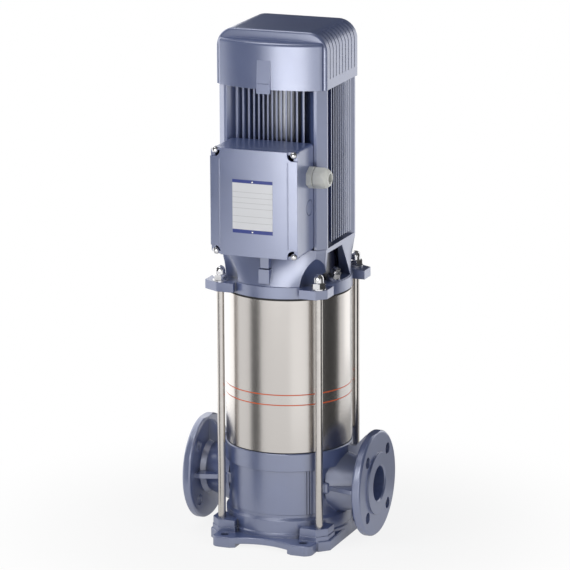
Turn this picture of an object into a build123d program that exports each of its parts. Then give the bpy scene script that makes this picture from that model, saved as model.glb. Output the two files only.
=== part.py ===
from build123d import *
import os
from math import atan2, cos, degrees, hypot, radians, sin, sqrt

# Vertical multistage in-line pump. All sizes are millimetres.
# The origin is on the shaft axis at the floor, +X leaves through the discharge
# port and -Y faces the terminal box.

# Pipe ports, both alike, on one line through the shaft axis
FACE_TO_FACE = 300.0
PORT_HEIGHT = 90.0
PORT_BORE = 54.0
PORT_CHAMFER = 2.0
PORT_WALL = 6.0
FLANGE_DIAMETER = 165.0
FLANGE_THICKNESS = 17.0
FLANGE_RIM_ROUND = 4.0
RAISED_FACE_DIAMETER = 97.0
RAISED_FACE_HEIGHT = 3.0
FLANGE_BOLT_CIRCLE = 125.0
FLANGE_BOLT_HOLE = 18.0
FLANGE_BOLT_COUNT = 4
FLANGE_FLAT_DROP = 2.0
NECK_RADIUS = 39.0
NECK_FLARE = 4.0
NECK_FLARE_LENGTH = 8.0
NECK_BODY_RADIUS = 54.0
NECK_BODY_INSET = 14.0
GUSSET_THICKNESS = 7.0
GUSSET_HALF_WIDTH = 64.0
GUSSET_ROOT_HALF_WIDTH = 50.0
GUSSET_KNOB_RADIUS = 7.0
GUSSET_KNOB_HEIGHT = 18.0
GUSSET_KNOB_ROUND = 4.0
WEB_DROP = 6.0
WEB_COLLAR_REACH = 12.0

# Foot with four holes for foundation bolts
FOOT_HOLE_SPACING_X = 130.0
FOOT_HOLE_SPACING_Y = 215.0
FOOT_HOLE = 13.5
FOOT_PAD_RADIUS = 17.0
FOOT_PAD_CORNER = 13.0
FOOT_PAD_INNER_REACH = 22.0
FOOT_THICKNESS = 16.0
FOOT_ARCH = 6.0
FOOT_WAIST = 14.0
FOOT_WAIST_SPREAD = 8.0
FOOT_EDGE_ROUND = 2.0
FOOT_SIDE_REACH = 4.0
FOOT_SIDE_WIDTH = 20.0
PLINTH_TOP = 23.0
PLINTH_STEP = 2.0

# Tie rods clamp the barrel between the base and the lantern
ROD_DIAMETER = 12.0
ROD_FIT = 0.5
ROD_CLEARANCE = 10.35
ROD_ENGAGEMENT = 14.0
LUG_EDGE = 14.5
LUG_CHAMFER = 14.0
LUG_INNER_REACH = 26.5
LONG_LUG_EXTRA = 10.0
BOSS_TOP = 34.5

# Base body
BODY_INSET = 3.5
SKIRT_STEP = 4.0
SKIRT_TOP = 42.0
SKIRT_ROUND = 4.0
COLLAR_BOTTOM_DROP = 28.0
COLLAR_STEP = 2.0
COLLAR_EDGE = 1.2
COLLAR_UNDERCUT = 1.5
BASE_TOP_OVER_PORT = 60.0
BASE_FLOOR = 34.0
BASE_WALL = 10.0
INLET_WALL_RADIUS = 60.0
INLET_BORE_RADIUS = 52.0
PANEL_HALF_WIDTH = 70.0
PANEL_HEIGHT = 1.2
PANEL_BOTTOM_GAP = 5.0
RIB_COUNT = 3
RIB_PITCH = 3.4
RIB_WIDTH = 1.6
RIB_HEIGHT = 1.0
RIB_START = 57.5

# Barrel and its seals
BARREL_RADIUS = 97.5
BARREL_WALL = 3.0
BARREL_LENGTH = 240.0
LOWER_SEAL_HEIGHT = 1.5
UPPER_SEAL_HEIGHT = 3.5
SEAL_INSET = 0.8
SPIGOT_HEIGHT = 10.0
SPIGOT_CLEARANCE = 0.3
SPIGOT_WALL = 5.0

# Lantern between barrel and motor
LANTERN_FLANGE_STEP = 1.5
LANTERN_FLANGE_HEIGHT = 18.0
LUG_BOTTOM_GAP = 3.0
LUG_THICKNESS = 14.0
HEAD_THICKNESS = 12.0
LANTERN_HEIGHT = 75.0
BELL_STEP = 2.0
BELL_TOP_PLATE = 5.0
BELL_TOP_INSET = 1.0
BELL_TOP_REACH = 2.0
LANTERN_WALL = 19.0
LANTERN_TOP_WALL = 5.0
CAVITY_CEILING = 10.0
MOTOR_SPIGOT_INSET = 42.5
MOTOR_BOLT_INSET = 32.5
MOTOR_BOLT_COUNT = 4
NUT_POCKET_RADIUS = 30.0
NUT_POCKET_SHOULDER = 24.0
NUT_POCKET_SHOULDER_HEIGHT = 25.0
NUT_POCKET_HEIGHT = 47.0
NUT_POCKET_TIP = 7.0
WINDOW_ANGLE = -16.0
WINDOW_FRONT = 30.0
WINDOW_REAR_TOP = 28.0
WINDOW_REAR_BOTTOM = 43.0
WINDOW_BOTTOM = 1.0
WINDOW_TOP = 50.0
FRONT_PAD_LEFT = -10.7
FRONT_PAD_RIGHT = 6.4
FRONT_TAB_LEFT = -8.1
FRONT_TAB_RIGHT = 5.4
FRONT_PAD_INSET = 0.5
FRONT_PAD_LIFT = 4.0
FRONT_SLOT_LIFT = 26.5
FRONT_SLOT_WIDTH = 1.6

# Motor frame
MOTOR_HALF_X = 87.0
MOTOR_HALF_Y = 73.0
MOTOR_CORNER = 12.0
MOTOR_FRAME_LENGTH = 260.0
FIN_START_GAP = 8.0
FRAME_BORE = 58.0
FRAME_WALL = 5.0
FIN_STEP = 5.625
FIN_THICKNESS = 2.4
CORNER_BAR_SPREAD = 13.0
AIR_GAP = 0.5
STATOR_BORE = 36.0
STATOR_LENGTH = 130.0
END_WINDING_LENGTH = 24.0
END_WINDING_ROUND = 5.0
END_WINDING_INNER_GAP = 3.0
END_WINDING_OUTER_GAP = 5.0
PART_FIT = 0.1

# Fan cover
COVER_OVERLAP = 14.0
COVER_HEIGHT = 87.0
COVER_HALF_X = 89.3
COVER_HOOD_FRONT = 68.0
COVER_HOOD_BACK = 67.4
COVER_CORNER = 30.0
COVER_EDGE_ROUND = 4.0
COVER_WALL = 2.0
COVER_FRONT_REACH = 92.0
COVER_FRONT_RADIUS = 190.0
COVER_FRONT_HALF = 85.0
COVER_FRONT_CORNER = 8.0
COVER_SHELF_DROP = 15.0
COVER_SHELF_ROUND = 6.0
SLOT_WIDTH = 2.4
SLOT_PITCH = 13.0
SLOT_COUNT = 9
SLOT_HEIGHT = 74.0
SLOT_TOP_REACH = 20.0
COVER_PAD_LEFT = -13.5
COVER_PAD_RIGHT = 8.5
COVER_PAD_DEPTH = 4.0
COVER_PAD_HEIGHT = 50.0
COVER_PAD_DROP = 6.0
COVER_PAD_LINE_LIFT = 9.5
COVER_PAD_LINE = 1.2

# Terminal box on the front of the motor
BOX_CENTRE_X = 2.5
BOX_HALF_WIDTH = 67.5
BOX_LIFT = 1.0
BOX_HEIGHT = 164.0
BOX_DEPTH = 60.0
BOX_WALL = 3.5
BOX_CORNER = 6.0
BOX_GASKET = 1.2
LID_DEPTH = 16.0
LID_CROWN = 2.5
LID_NOTCH = 9.0
LID_BEAD_X = 55.0
LID_BEAD_INSET = 15.5
LID_BEAD_WIDTH = 1.6
LID_BEAD_HEIGHT = 0.7
PLATE_WIDTH = 64.5
PLATE_HEIGHT = 82.0
PLATE_THICKNESS = 0.6
PLATE_SHIFT = -1.0
PLATE_LIFT = 77.0
KNOCKOUT_LIFT = 69.0
GLAND_LIFT = 116.0
GLAND_SETBACK = 17.5
GLAND_BORE = 13.0
GLAND_FLAT = 30.0
GLAND_COLLAR_LENGTH = 9.0
GLAND_NUT_LENGTH = 23.0
GLAND_THREAD = 25.0

# Shafts, coupling and seal
PUMP_SHAFT_RADIUS = 9.0
MOTOR_SHAFT_RADIUS = 14.0
COUPLING_RADIUS = 30.0
COUPLING_LIFT = 10.0
COUPLING_LENGTH = 45.0
COUPLING_GRIP = 21.0
COUPLING_SPLIT = 1.0
RUNNING_FIT = 0.05
SEAL_BORE_RADIUS = 20.0

# Hydraulic stages
STAGE_COUNT = 7
STAGE_SPACE = 22.5
STAGE_WALL = 2.5
STAGE_FLOOR = 2.5
CAGE_HEIGHT = 29.0
IMPELLER_INSET = 14.0
IMPELLER_WIDTH = 11.0
IMPELLER_EYE_RADIUS = 26.0
IMPELLER_VANES = 6
SHROUD_THICKNESS = 1.5
NECK_RING_THICKNESS = 3.0
STACK_BASE_HEIGHT = 6.0

# Fan
FAN_RADIUS = 62.0
FAN_BLADES = 8
FAN_BLADE_THICKNESS = 2.0
FAN_PLATE = 2.0
FAN_LIFT = 16.0
FAN_HEIGHT = 26.0
FAN_HUB_RADIUS = 18.0

# Fasteners of the tie rods
WASHER_RADIUS = 11.5
WASHER_THICKNESS = 2.0
NUT_FLAT = 19.0
NUT_HEX_HEIGHT = 9.0
NUT_HEX_BEVEL_HEIGHT = 1.5
NUT_HEX_BEVEL = 2.5
NUT_DOME_RADIUS = 8.0
NUT_HEIGHT = 22.0
NUT_BORE_DEPTH = 16.0
NUT_TOP_SPACE = 2.0

# Bolts between lantern and motor
MOTOR_BOLT_RADIUS = 4.0
MOTOR_BOLT_FIT = 0.5
MOTOR_BOLT_HEAD = 5.5
MOTOR_BOLT_FLAT = 13.0
MOTOR_BOLT_ENGAGEMENT = 7.0

# Fill plug with vent screw, standing in one window of the lantern
FILL_PLUG_WALL_REACH = 7.0
FILL_PLUG_TILT = 22.0
FILL_BOSS_RADIUS = 10.5
FILL_BOSS_ROOT = 6.0
FILL_BOSS_HEIGHT = 6.0
FILL_HOLE_RADIUS = 6.5
FILL_PLUG_EDGE = 1.0
FILL_PLUG_FLANGE = 2.0
FILL_PLUG_FLAT = 17.0
FILL_PLUG_HEX = 7.0
FILL_PLUG_THREAD = 12.0
VENT_STEM_RADIUS = 3.0
VENT_GAP = 3.0
VENT_FOOT_GAP = 0.5
VENT_HEAD_FLAT = 11.0
VENT_HEAD_HEIGHT = 3.0

# Coupling guards inside the windows
GUARD_GAP = 6.5
GUARD_THICKNESS = 1.5
GUARD_HALF_WIDTH = 44.0
GUARD_HEIGHT = 45.0

# Drain plug low at the back of the base
DRAIN_ANGLE = 90.0
DRAIN_HEIGHT = 62.0
DRAIN_BOSS_RADIUS = 11.0
DRAIN_BOSS_REACH = 4.0
DRAIN_RADIUS = 6.0
DRAIN_FLAT = 17.0
DRAIN_HEAD = 6.0
DRAIN_STEM = 12.0

# Bearings, shields and fan end of the motor
BAR_LIP = 4.5
BAR_ROOT_SPREAD = 8.0
SHIELD_FLANGE_RADIUS = 71.0
SHIELD_SPIGOT = 6.0
SHIELD_BORE_CLEARANCE = 1.0
BEARING_OUTER_RADIUS = 31.0
BEARING_BORE_RADIUS = 15.0
BEARING_RING = 5.0
BEARING_WIDTH = 16.0
BEARING_RELIEF_RADIUS = 24.0
BEARING_RELIEF = 1.5
BEARING_HUB_RADIUS = 37.0
LOWER_BEARING_LIFT = 8.0
UPPER_BEARING_DROP = 18.0
REAR_SHAFT_RADIUS = 10.0
REAR_SHIELD_THICKNESS = 8.0
COVER_ARM_WIDTH = 16.0
COVER_FIT = 0.3
COVER_SCREW_RADIUS = 2.2
COVER_SCREW_HEAD = 4.0
COVER_SCREW_DOME = 2.0
COVER_SCREW_LENGTH = 12.0

# Details of the terminal box
SCREW_INSET = 4.5
SCREW_POST = 4.5
LID_OVERHANG = 2.5
LID_WALL = 3.0
LID_SCREW_RADIUS = 2.5
LID_SCREW_FIT = 0.3
LID_SCREW_GRIP = 12.0
LID_SCREW_SEAT = 10.0
LID_SCREW_HEAD = 5.6
LID_SCREW_DOME = 4.6
KNOCKOUT_RADIUS = 12.5
KNOCKOUT_GROOVE = 1.5
KNOCKOUT_DEPTH = 1.2
BOARD_HALF_WIDTH = 30.0
BOARD_HALF_HEIGHT = 22.0
BOARD_THICKNESS = 8.0
BOARD_CORNER = 3.0
STUD_RADIUS = 2.5
STUD_LENGTH = 20.0
STUD_NUT_FLAT = 8.0
STUD_PITCH = 18.0
GLAND_NUT_GAP = 1.5
GLAND_NECK_RADIUS = 12.5
GLAND_NECK_SHARE = 0.6
GLAND_STEM = 8.0
GLAND_SEAL_WALL = 2.5
GLAND_SEAL_LIFT = 2.0
GLAND_CORNER_ROUND = 1.2
GLAND_COLLAR_ROUND = 0.8
GLAND_MOUTH_CLEARANCE = 1.0
GLAND_SEAL_LENGTH = 20.0

# Details of coupling, shafts and shaft seal
SHAFT_FIT = 0.02
SHAFT_END_GAP = 1.0
SHAFT_FOOT_DROP = 10.0
SHAFT_NUT_FLAT = 27.0
SHAFT_NUT_HEIGHT = 7.0
COUPLING_SCREW = 3.0
COUPLING_SCREW_X = 21.0
COUPLING_SCREW_LENGTH = 32.0
COUPLING_HEAD = 5.0
COUPLING_HEAD_FIT = 0.5
COUPLING_HEAD_SEAT = 14.0
SEAL_FACE_LIFT = 2.0
SEAL_BACK_RADIUS = 10.5
SEAL_COVER_RADIUS = 34.0
SEAL_COVER_THICKNESS = 4.0
SEAL_RING_RADIUS = 16.0
SEAL_RING_LENGTH = 8.0
SEAL_BELLOWS_LENGTH = 16.0
SEAL_BELLOWS_WALL = 2.0
SEAL_BELLOWS_INSET = 1.0

# Details of a stage
RING_BORE_RADIUS = 27.6
HUB_RADIUS = 13.0
IMPELLER_LIFT = 5.0
IMPELLER_NECK_GAP = 0.5
GUIDE_LEVEL = 17.5
GUIDE_THICKNESS = 2.0
GUIDE_INSET = 10.0
GUIDE_INNER = 34.0
GUIDE_VANES = 6
GUIDE_VANE_TURN = 35.0
GUIDE_VANE_OVERLAP = 10.5
GUIDE_VANE_GAP = 0.5
VANE_THICKNESS = 2.0
VANE_CURVE_RADIUS = 40.0
VANE_START = 18.0
VANE_ROOT = 4.0
VANE_TIP_INSET = 0.5
SLEEVE_RADIUS = 12.0
SLEEVE_CLEARANCE_RADIUS = 13.5
BUSH_RADIUS = 13.0
BUSH_WALL = 4.0
SPIDER_ARMS = 3
SPIDER_ARM_WIDTH = 4.0
CAGE_PORT_WIDTH = 30.0
CAGE_PORT_HEIGHT = 14.0
CAGE_PORT_PAIRS = 3
CAGE_FLOOR = 2.0

# Radial sizes that follow from the barrel
BARREL_BORE = BARREL_RADIUS - BARREL_WALL
BODY_RADIUS = BARREL_RADIUS - BODY_INSET
SKIRT_RADIUS = BODY_RADIUS + SKIRT_STEP
PLINTH_RADIUS = SKIRT_RADIUS + PLINTH_STEP
COLLAR_RADIUS = BARREL_RADIUS + COLLAR_STEP
MOTOR_SPIGOT_RADIUS = BARREL_RADIUS - MOTOR_SPIGOT_INSET
MOTOR_BOLT_CIRCLE = 2 * (BARREL_RADIUS - MOTOR_BOLT_INSET)
FRONT_PAD_DEPTH = BARREL_RADIUS - FRONT_PAD_INSET
LANTERN_FLANGE_RADIUS = BARREL_RADIUS + LANTERN_FLANGE_STEP
BELL_BASE_RADIUS = LANTERN_FLANGE_RADIUS - BELL_STEP
COUPLING_CAVITY_RADIUS = BELL_BASE_RADIUS - LANTERN_WALL
GUARD_RADIUS = COUPLING_CAVITY_RADIUS - GUARD_GAP
FILL_PLUG_RADIUS = COUPLING_CAVITY_RADIUS + FILL_PLUG_WALL_REACH
ROD_SPACING = sqrt(2) * (BARREL_RADIUS + ROD_CLEARANCE + ROD_DIAMETER / 2)
LUG_HALF = ROD_SPACING / 2 + LUG_EDGE
LUG_INNER = ROD_SPACING / 2 - LUG_INNER_REACH
STAGE_RADIUS = BARREL_BORE - STAGE_SPACE
IMPELLER_RADIUS = STAGE_RADIUS - IMPELLER_INSET
GUIDE_RADIUS = STAGE_RADIUS - GUIDE_INSET
FLANGE_BACK = FACE_TO_FACE / 2 - FLANGE_THICKNESS
FLANGE_FLAT_HEIGHT = FLANGE_DIAMETER / 2 - FLANGE_FLAT_DROP

# Levels that follow, from the floor up
BASE_TOP = PORT_HEIGHT + BASE_TOP_OVER_PORT
COLLAR_BOTTOM = BASE_TOP - COLLAR_BOTTOM_DROP
SHAFT_FOOT = BASE_TOP - SHAFT_FOOT_DROP
BARREL_BOTTOM = BASE_TOP + LOWER_SEAL_HEIGHT
BARREL_TOP = BARREL_BOTTOM + BARREL_LENGTH
LANTERN_BOTTOM = BARREL_TOP + UPPER_SEAL_HEIGHT
HEAD_TOP = LANTERN_BOTTOM + HEAD_THICKNESS
RING_TOP = LANTERN_BOTTOM + LANTERN_FLANGE_HEIGHT
LUG_BOTTOM = LANTERN_BOTTOM + LUG_BOTTOM_GAP
LUG_TOP = LUG_BOTTOM + LUG_THICKNESS
LANTERN_TOP = LANTERN_BOTTOM + LANTERN_HEIGHT
STACK_BOTTOM = BASE_TOP
STAGES_BOTTOM = STACK_BOTTOM + STACK_BASE_HEIGHT
STAGES_TOP = LANTERN_BOTTOM - CAGE_HEIGHT
STAGE_PITCH = (STAGES_TOP - STAGES_BOTTOM) / STAGE_COUNT
SEAL_FACE = LANTERN_BOTTOM + SEAL_FACE_LIFT
ROD_TOP = LUG_TOP + WASHER_THICKNESS + NUT_BORE_DEPTH - NUT_TOP_SPACE
COUPLING_BOTTOM = HEAD_TOP + COUPLING_LIFT
COUPLING_TOP = COUPLING_BOTTOM + COUPLING_LENGTH
SHAFT_JOINT = COUPLING_BOTTOM + COUPLING_GRIP
FIN_BOTTOM = LANTERN_TOP + FIN_START_GAP
MOTOR_FRAME_TOP = LANTERN_TOP + MOTOR_FRAME_LENGTH
STATOR_CENTRE = LANTERN_TOP + MOTOR_FRAME_LENGTH / 2
LOWER_BEARING = FIN_BOTTOM + LOWER_BEARING_LIFT
UPPER_BEARING = MOTOR_FRAME_TOP - UPPER_BEARING_DROP
FAN_BOTTOM = MOTOR_FRAME_TOP + FAN_LIFT
FAN_TOP = FAN_BOTTOM + FAN_HEIGHT
COVER_BOTTOM = MOTOR_FRAME_TOP - COVER_OVERLAP
COVER_TOP = COVER_BOTTOM + COVER_HEIGHT
COVER_SCREW_Z = MOTOR_FRAME_TOP + REAR_SHIELD_THICKNESS / 2
BOX_BOTTOM = LANTERN_TOP + BOX_LIFT
BOX_TOP = BOX_BOTTOM + BOX_HEIGHT
PLATE_CENTRE_Z = BOX_BOTTOM + PLATE_LIFT
KNOCKOUT_Z = BOX_BOTTOM + KNOCKOUT_LIFT
GLAND_Z = BOX_BOTTOM + GLAND_LIFT

# Distances in front of the axis that follow from the motor
BOX_BACK = MOTOR_HALF_Y
BOX_FRONT = BOX_BACK + BOX_DEPTH
LID_BACK = BOX_FRONT + BOX_GASKET
LID_FRONT = LID_BACK + LID_DEPTH
GLAND_Y = -(BOX_BACK + GLAND_SETBACK)
BOX_SIDE = BOX_CENTRE_X + BOX_HALF_WIDTH


def on_axis(sketch, bottom, top):
    """Extrude a plan shape between two heights."""
    return extrude(Pos(0, 0, bottom) * sketch, top - bottom)


def disc(radius, bottom, top):
    return on_axis(Circle(radius), bottom, top)


def ring(outer, inner, bottom, top):
    return on_axis(Circle(outer) - Circle(inner), bottom, top)


def turned(*points):
    """Solid of revolution about the shaft axis from (radius, height) points."""
    return revolve(make_face(Plane.XZ * Polyline(*points, close=True)), Axis.Z)


def four(spacing_x, spacing_y):
    """The four plan positions of a rectangular pattern about the axis."""
    return [(sx * spacing_x / 2, sy * spacing_y / 2) for sx in (-1, 1) for sy in (-1, 1)]


def on_circle(radius, count, start):
    """Plan positions evenly spread on a circle, the first at an angle in degrees."""
    angles = [radians(start + 360.0 * k / count) for k in range(count)]
    return [(radius * cos(a), radius * sin(a)) for a in angles]


def chamfered_square(half_x, half_y, corner):
    return chamfer(Rectangle(2 * half_x, 2 * half_y).vertices(), corner)


def clamp_corners():
    """Plan of the four corner lugs that the tie rods pass through."""
    return (chamfered_square(LUG_HALF, LUG_HALF, LUG_CHAMFER)
            - Rectangle(2 * LUG_INNER, 4 * LUG_HALF) - Rectangle(4 * LUG_HALF, 2 * LUG_INNER))


def across(sketch, left, right):
    """Extrude a side view, drawn as (distance along +Y, height), between two X values."""
    return Pos(left, 0, 0) * extrude(Plane.YZ * sketch, right - left)


RODS = four(ROD_SPACING, ROD_SPACING)
FOOT_HOLES = four(FOOT_HOLE_SPACING_X, FOOT_HOLE_SPACING_Y)


# Base casting
def foot_plan():
    half_x = FOOT_HOLE_SPACING_X / 2 + FOOT_PAD_RADIUS
    half_y = FOOT_HOLE_SPACING_Y / 2 + FOOT_PAD_RADIUS
    plate = fillet(Rectangle(2 * half_x, 2 * half_y).vertices(), FOOT_PAD_CORNER)
    chord = FOOT_HOLE_SPACING_X / 2 - FOOT_PAD_INNER_REACH + FOOT_WAIST_SPREAD
    waist_radius = (chord ** 2 + FOOT_WAIST ** 2) / (2 * FOOT_WAIST)
    for side in (-1, 1):
        plate -= Pos(0, side * (half_y - FOOT_WAIST + waist_radius)) * Circle(waist_radius)
    return plate + foot_sides()


def foot_sides():
    """Plan of the straight left and right sides of the foot."""
    half_x = LUG_HALF + FOOT_SIDE_REACH
    middle = Rectangle(2 * (half_x - FOOT_SIDE_WIDTH), 4 * LUG_HALF)
    return chamfered_square(half_x, LUG_HALF, LUG_CHAMFER) - middle


def floor_pads():
    pads = foot_sides()
    reach = (FOOT_PAD_INNER_REACH + FOOT_PAD_RADIUS) / 2
    for x, y in FOOT_HOLES:
        side = 1 if x > 0 else -1
        centre_x = x + side * (FOOT_PAD_RADIUS - reach)
        pads += Pos(centre_x, y) * Rectangle(2 * reach, 2 * FOOT_PAD_RADIUS)
    return pads


def port_place(side):
    """Place of one port, its local +Z leaving through the flange."""
    return Pos(0, 0, PORT_HEIGHT) * Rot(0, 90 * side, 0)


def port_flange(side):
    """Round pipe flange with its neck and flats above and below."""
    face = FACE_TO_FACE / 2
    rim = FLANGE_DIAMETER / 2
    raised = RAISED_FACE_DIAMETER / 2
    step = face - RAISED_FACE_HEIGHT
    start = BODY_RADIUS - NECK_BODY_INSET
    outline = make_face(Polyline(
        (0, start), (NECK_BODY_RADIUS, start), (NECK_RADIUS, FLANGE_BACK - NECK_FLARE_LENGTH),
        (NECK_RADIUS + NECK_FLARE, FLANGE_BACK), (rim, FLANGE_BACK), (rim, step),
        (raised, step), (raised, face), (0, face), close=True))
    corners = [v for v in outline.vertices() if v.X > rim - 1]
    outline = Plane.XZ * fillet(corners, FLANGE_RIM_ROUND)
    keep = Pos(0, 0, PORT_HEIGHT) * Box(
        3 * face, 3 * rim, 2 * FLANGE_FLAT_HEIGHT)
    return (port_place(side) * revolve(outline, Axis.Z)) & keep


def flange_holes(side):
    drill = Cylinder(FLANGE_BOLT_HOLE / 2, 3 * FLANGE_THICKNESS)
    places = on_circle(FLANGE_BOLT_CIRCLE / 2, FLANGE_BOLT_COUNT, 45)
    middle = FACE_TO_FACE / 2 - FLANGE_THICKNESS / 2
    return port_place(side) * (Part() + [Pos(x, y, middle) * drill for x, y in places])


def port_bore(side, end_radius):
    """Water way from the flange face to a chamber, with a chamfered mouth."""
    face = FACE_TO_FACE / 2
    radius = PORT_BORE / 2
    return port_place(side) * turned(
        (0, end_radius), (radius, end_radius), (radius, face - PORT_CHAMFER),
        (radius + PORT_CHAMFER, face), (radius + PORT_CHAMFER, face + 1), (0, face + 1))


def base_body():
    """Round body from the plinth up to the collar."""
    lip = COLLAR_RADIUS - COLLAR_EDGE
    body = turned(
        (0, FOOT_ARCH), (PLINTH_RADIUS, FOOT_ARCH), (PLINTH_RADIUS, PLINTH_TOP - PLINTH_STEP),
        (SKIRT_RADIUS, PLINTH_TOP), (SKIRT_RADIUS, SKIRT_TOP),
        (BODY_RADIUS, SKIRT_TOP + SKIRT_ROUND), (BODY_RADIUS, COLLAR_BOTTOM - COLLAR_UNDERCUT),
        (COLLAR_RADIUS, COLLAR_BOTTOM), (COLLAR_RADIUS, BASE_TOP - COLLAR_EDGE),
        (lip, BASE_TOP), (0, BASE_TOP))
    return body + front_panel()


def front_panel():
    """Slightly raised bare panel on the front, with upright ribs near its right edge."""
    bottom = SKIRT_TOP + SKIRT_ROUND + PANEL_BOTTOM_GAP
    front = Pos(0, -BODY_RADIUS) * Rectangle(2 * PANEL_HALF_WIDTH, 2 * BODY_RADIUS)
    panel = (Circle(BODY_RADIUS + PANEL_HEIGHT) - Circle(BODY_RADIUS - 1)) & front
    shape = on_axis(panel, bottom, COLLAR_BOTTOM)
    ribs = Circle(BODY_RADIUS + PANEL_HEIGHT + RIB_HEIGHT) - Circle(BODY_RADIUS - 1)
    bars = [Pos(RIB_START + k * RIB_PITCH, -BODY_RADIUS) * Rectangle(RIB_WIDTH, 2 * BODY_RADIUS)
            for k in range(RIB_COUNT)]
    return shape + on_axis(ribs & (Sketch() + bars) & front, bottom, COLLAR_BOTTOM)


def gusset(side):
    """Level stiffening plate between body and flange, ending in a rounded knob each way."""
    low, high = GUSSET_ROOT_HALF_WIDTH, GUSSET_HALF_WIDTH
    root = sqrt(BODY_RADIUS ** 2 - low ** 2)
    plan = make_face(Polyline(
        (root - BASE_WALL / 2, -low), (root, -low), (FLANGE_BACK - NECK_FLARE_LENGTH, -high),
        (FLANGE_BACK + 1, -high), (FLANGE_BACK + 1, high),
        (FLANGE_BACK - NECK_FLARE_LENGTH, high), (root, low), (root - BASE_WALL / 2, low),
        close=True))
    half = GUSSET_THICKNESS / 2
    plate = on_axis(plan, PORT_HEIGHT - half, PORT_HEIGHT + half)
    knob = Cylinder(GUSSET_KNOB_RADIUS, GUSSET_KNOB_HEIGHT)
    knob = fillet(knob.edges().filter_by(GeomType.CIRCLE), GUSSET_KNOB_ROUND)
    for end in (-1, 1):
        plate += Pos(root, end * low, PORT_HEIGHT) * knob
    return plate if side > 0 else mirror(plate, Plane.YZ)


def base_casting():
    plate = on_axis(foot_plan(), 0, FOOT_THICKNESS)
    body = fillet(plate.edges().group_by(Axis.Z)[-1], FOOT_EDGE_ROUND)
    span = 2 * (FOOT_HOLE_SPACING_Y + SKIRT_RADIUS)
    body -= on_axis(Rectangle(span, span) - floor_pads(), 0, FOOT_ARCH)
    body += base_body()
    body += on_axis(offset(clamp_corners(), PLINTH_STEP / 2), FOOT_ARCH, PLINTH_TOP)
    body += on_axis(clamp_corners(), FOOT_ARCH, BOSS_TOP)
    for side in (-1, 1):
        body += port_flange(side) + gusset(side) + side_web(side)
    body += drain_place() * Pos(0, 0, -BASE_WALL / 2) * extrude(
        Circle(DRAIN_BOSS_RADIUS), DRAIN_BOSS_REACH + BASE_WALL / 2)
    # water spaces: an inlet chamber in the middle and a collecting ring round it
    body -= ring(BODY_RADIUS - BASE_WALL, INLET_WALL_RADIUS, BASE_FLOOR, BASE_TOP + 1)
    body -= disc(INLET_BORE_RADIUS, BASE_FLOOR, BASE_TOP + 1)
    duct = port_place(-1) * turned(
        (0, INLET_BORE_RADIUS), (PORT_BORE / 2 + PORT_WALL, INLET_BORE_RADIUS),
        (PORT_BORE / 2 + PORT_WALL, BODY_RADIUS - 1), (0, BODY_RADIUS - 1))
    body += (duct & disc(BODY_RADIUS - 1, BASE_FLOOR - 2, BASE_TOP)) - disc(
        INLET_BORE_RADIUS, 0, BASE_TOP)
    body -= port_bore(-1, 0) - disc(INLET_BORE_RADIUS / 2, 0, BASE_TOP)
    body -= port_bore(1, (INLET_WALL_RADIUS + BODY_RADIUS) / 2)
    for side in (-1, 1):
        body -= flange_holes(side)
    body -= drain_place() * Cylinder(DRAIN_RADIUS, 3 * BASE_WALL)
    for x, y in FOOT_HOLES:
        body -= Pos(x, y, FOOT_THICKNESS / 2) * Cylinder(FOOT_HOLE / 2, 2 * FOOT_THICKNESS)
    for x, y in RODS:
        body -= Pos(x, y, BOSS_TOP - ROD_ENGAGEMENT) * extrude(
            Circle(ROD_DIAMETER / 2), 2 * ROD_ENGAGEMENT)
    return body + ring(BARREL_BORE - SPIGOT_CLEARANCE, BODY_RADIUS - BASE_WALL,
                       BASE_TOP - 2, BASE_TOP + SPIGOT_HEIGHT)


def side_web(side):
    """Upright web from the collar to the top of the flange."""
    top = PORT_HEIGHT + FLANGE_FLAT_HEIGHT - WEB_DROP
    shoulder = BASE_TOP - COLLAR_UNDERCUT - COLLAR_EDGE
    root = BODY_RADIUS - BASE_WALL / 2
    web = make_face(Plane.XZ * Polyline(
        (root, PORT_HEIGHT), (FLANGE_BACK + 1, PORT_HEIGHT), (FLANGE_BACK + 1, top),
        (FLANGE_BACK - WEB_DROP, top), (COLLAR_RADIUS + WEB_COLLAR_REACH, shoulder),
        (root, shoulder), close=True))
    web = extrude(web, GUSSET_THICKNESS / 2, both=True)
    return web if side > 0 else mirror(web, Plane.YZ)


# Barrel and seals
def barrel():
    return ring(BARREL_RADIUS, BARREL_BORE, BARREL_BOTTOM, BARREL_TOP)


def barrel_seal(bottom, top):
    return ring(BARREL_RADIUS - SEAL_INSET, BARREL_BORE, bottom, top)


# Lantern
def bell_top_plan():
    return chamfered_square(MOTOR_HALF_X - BELL_TOP_INSET, MOTOR_HALF_Y + BELL_TOP_REACH,
                            MOTOR_CORNER)


def bell_outer():
    low = Pos(0, 0, RING_TOP - 1) * Circle(BELL_BASE_RADIUS)
    top = Pos(0, 0, LANTERN_TOP - BELL_TOP_PLATE) * bell_top_plan()
    return loft([low, top])


def lantern_lugs():
    """Clamp lugs; the front left and the rear right one reach further out sideways."""
    bend = LUG_HALF - LUG_CHAMFER
    reach = LUG_HALF + LONG_LUG_EXTRA
    lug = make_face(Polyline((LUG_INNER, LUG_INNER), (reach, LUG_INNER), (reach, bend),
                             (bend, LUG_HALF), (LUG_INNER, LUG_HALF), close=True))
    return clamp_corners() + lug + Rot(0, 0, 180) * lug


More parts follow.
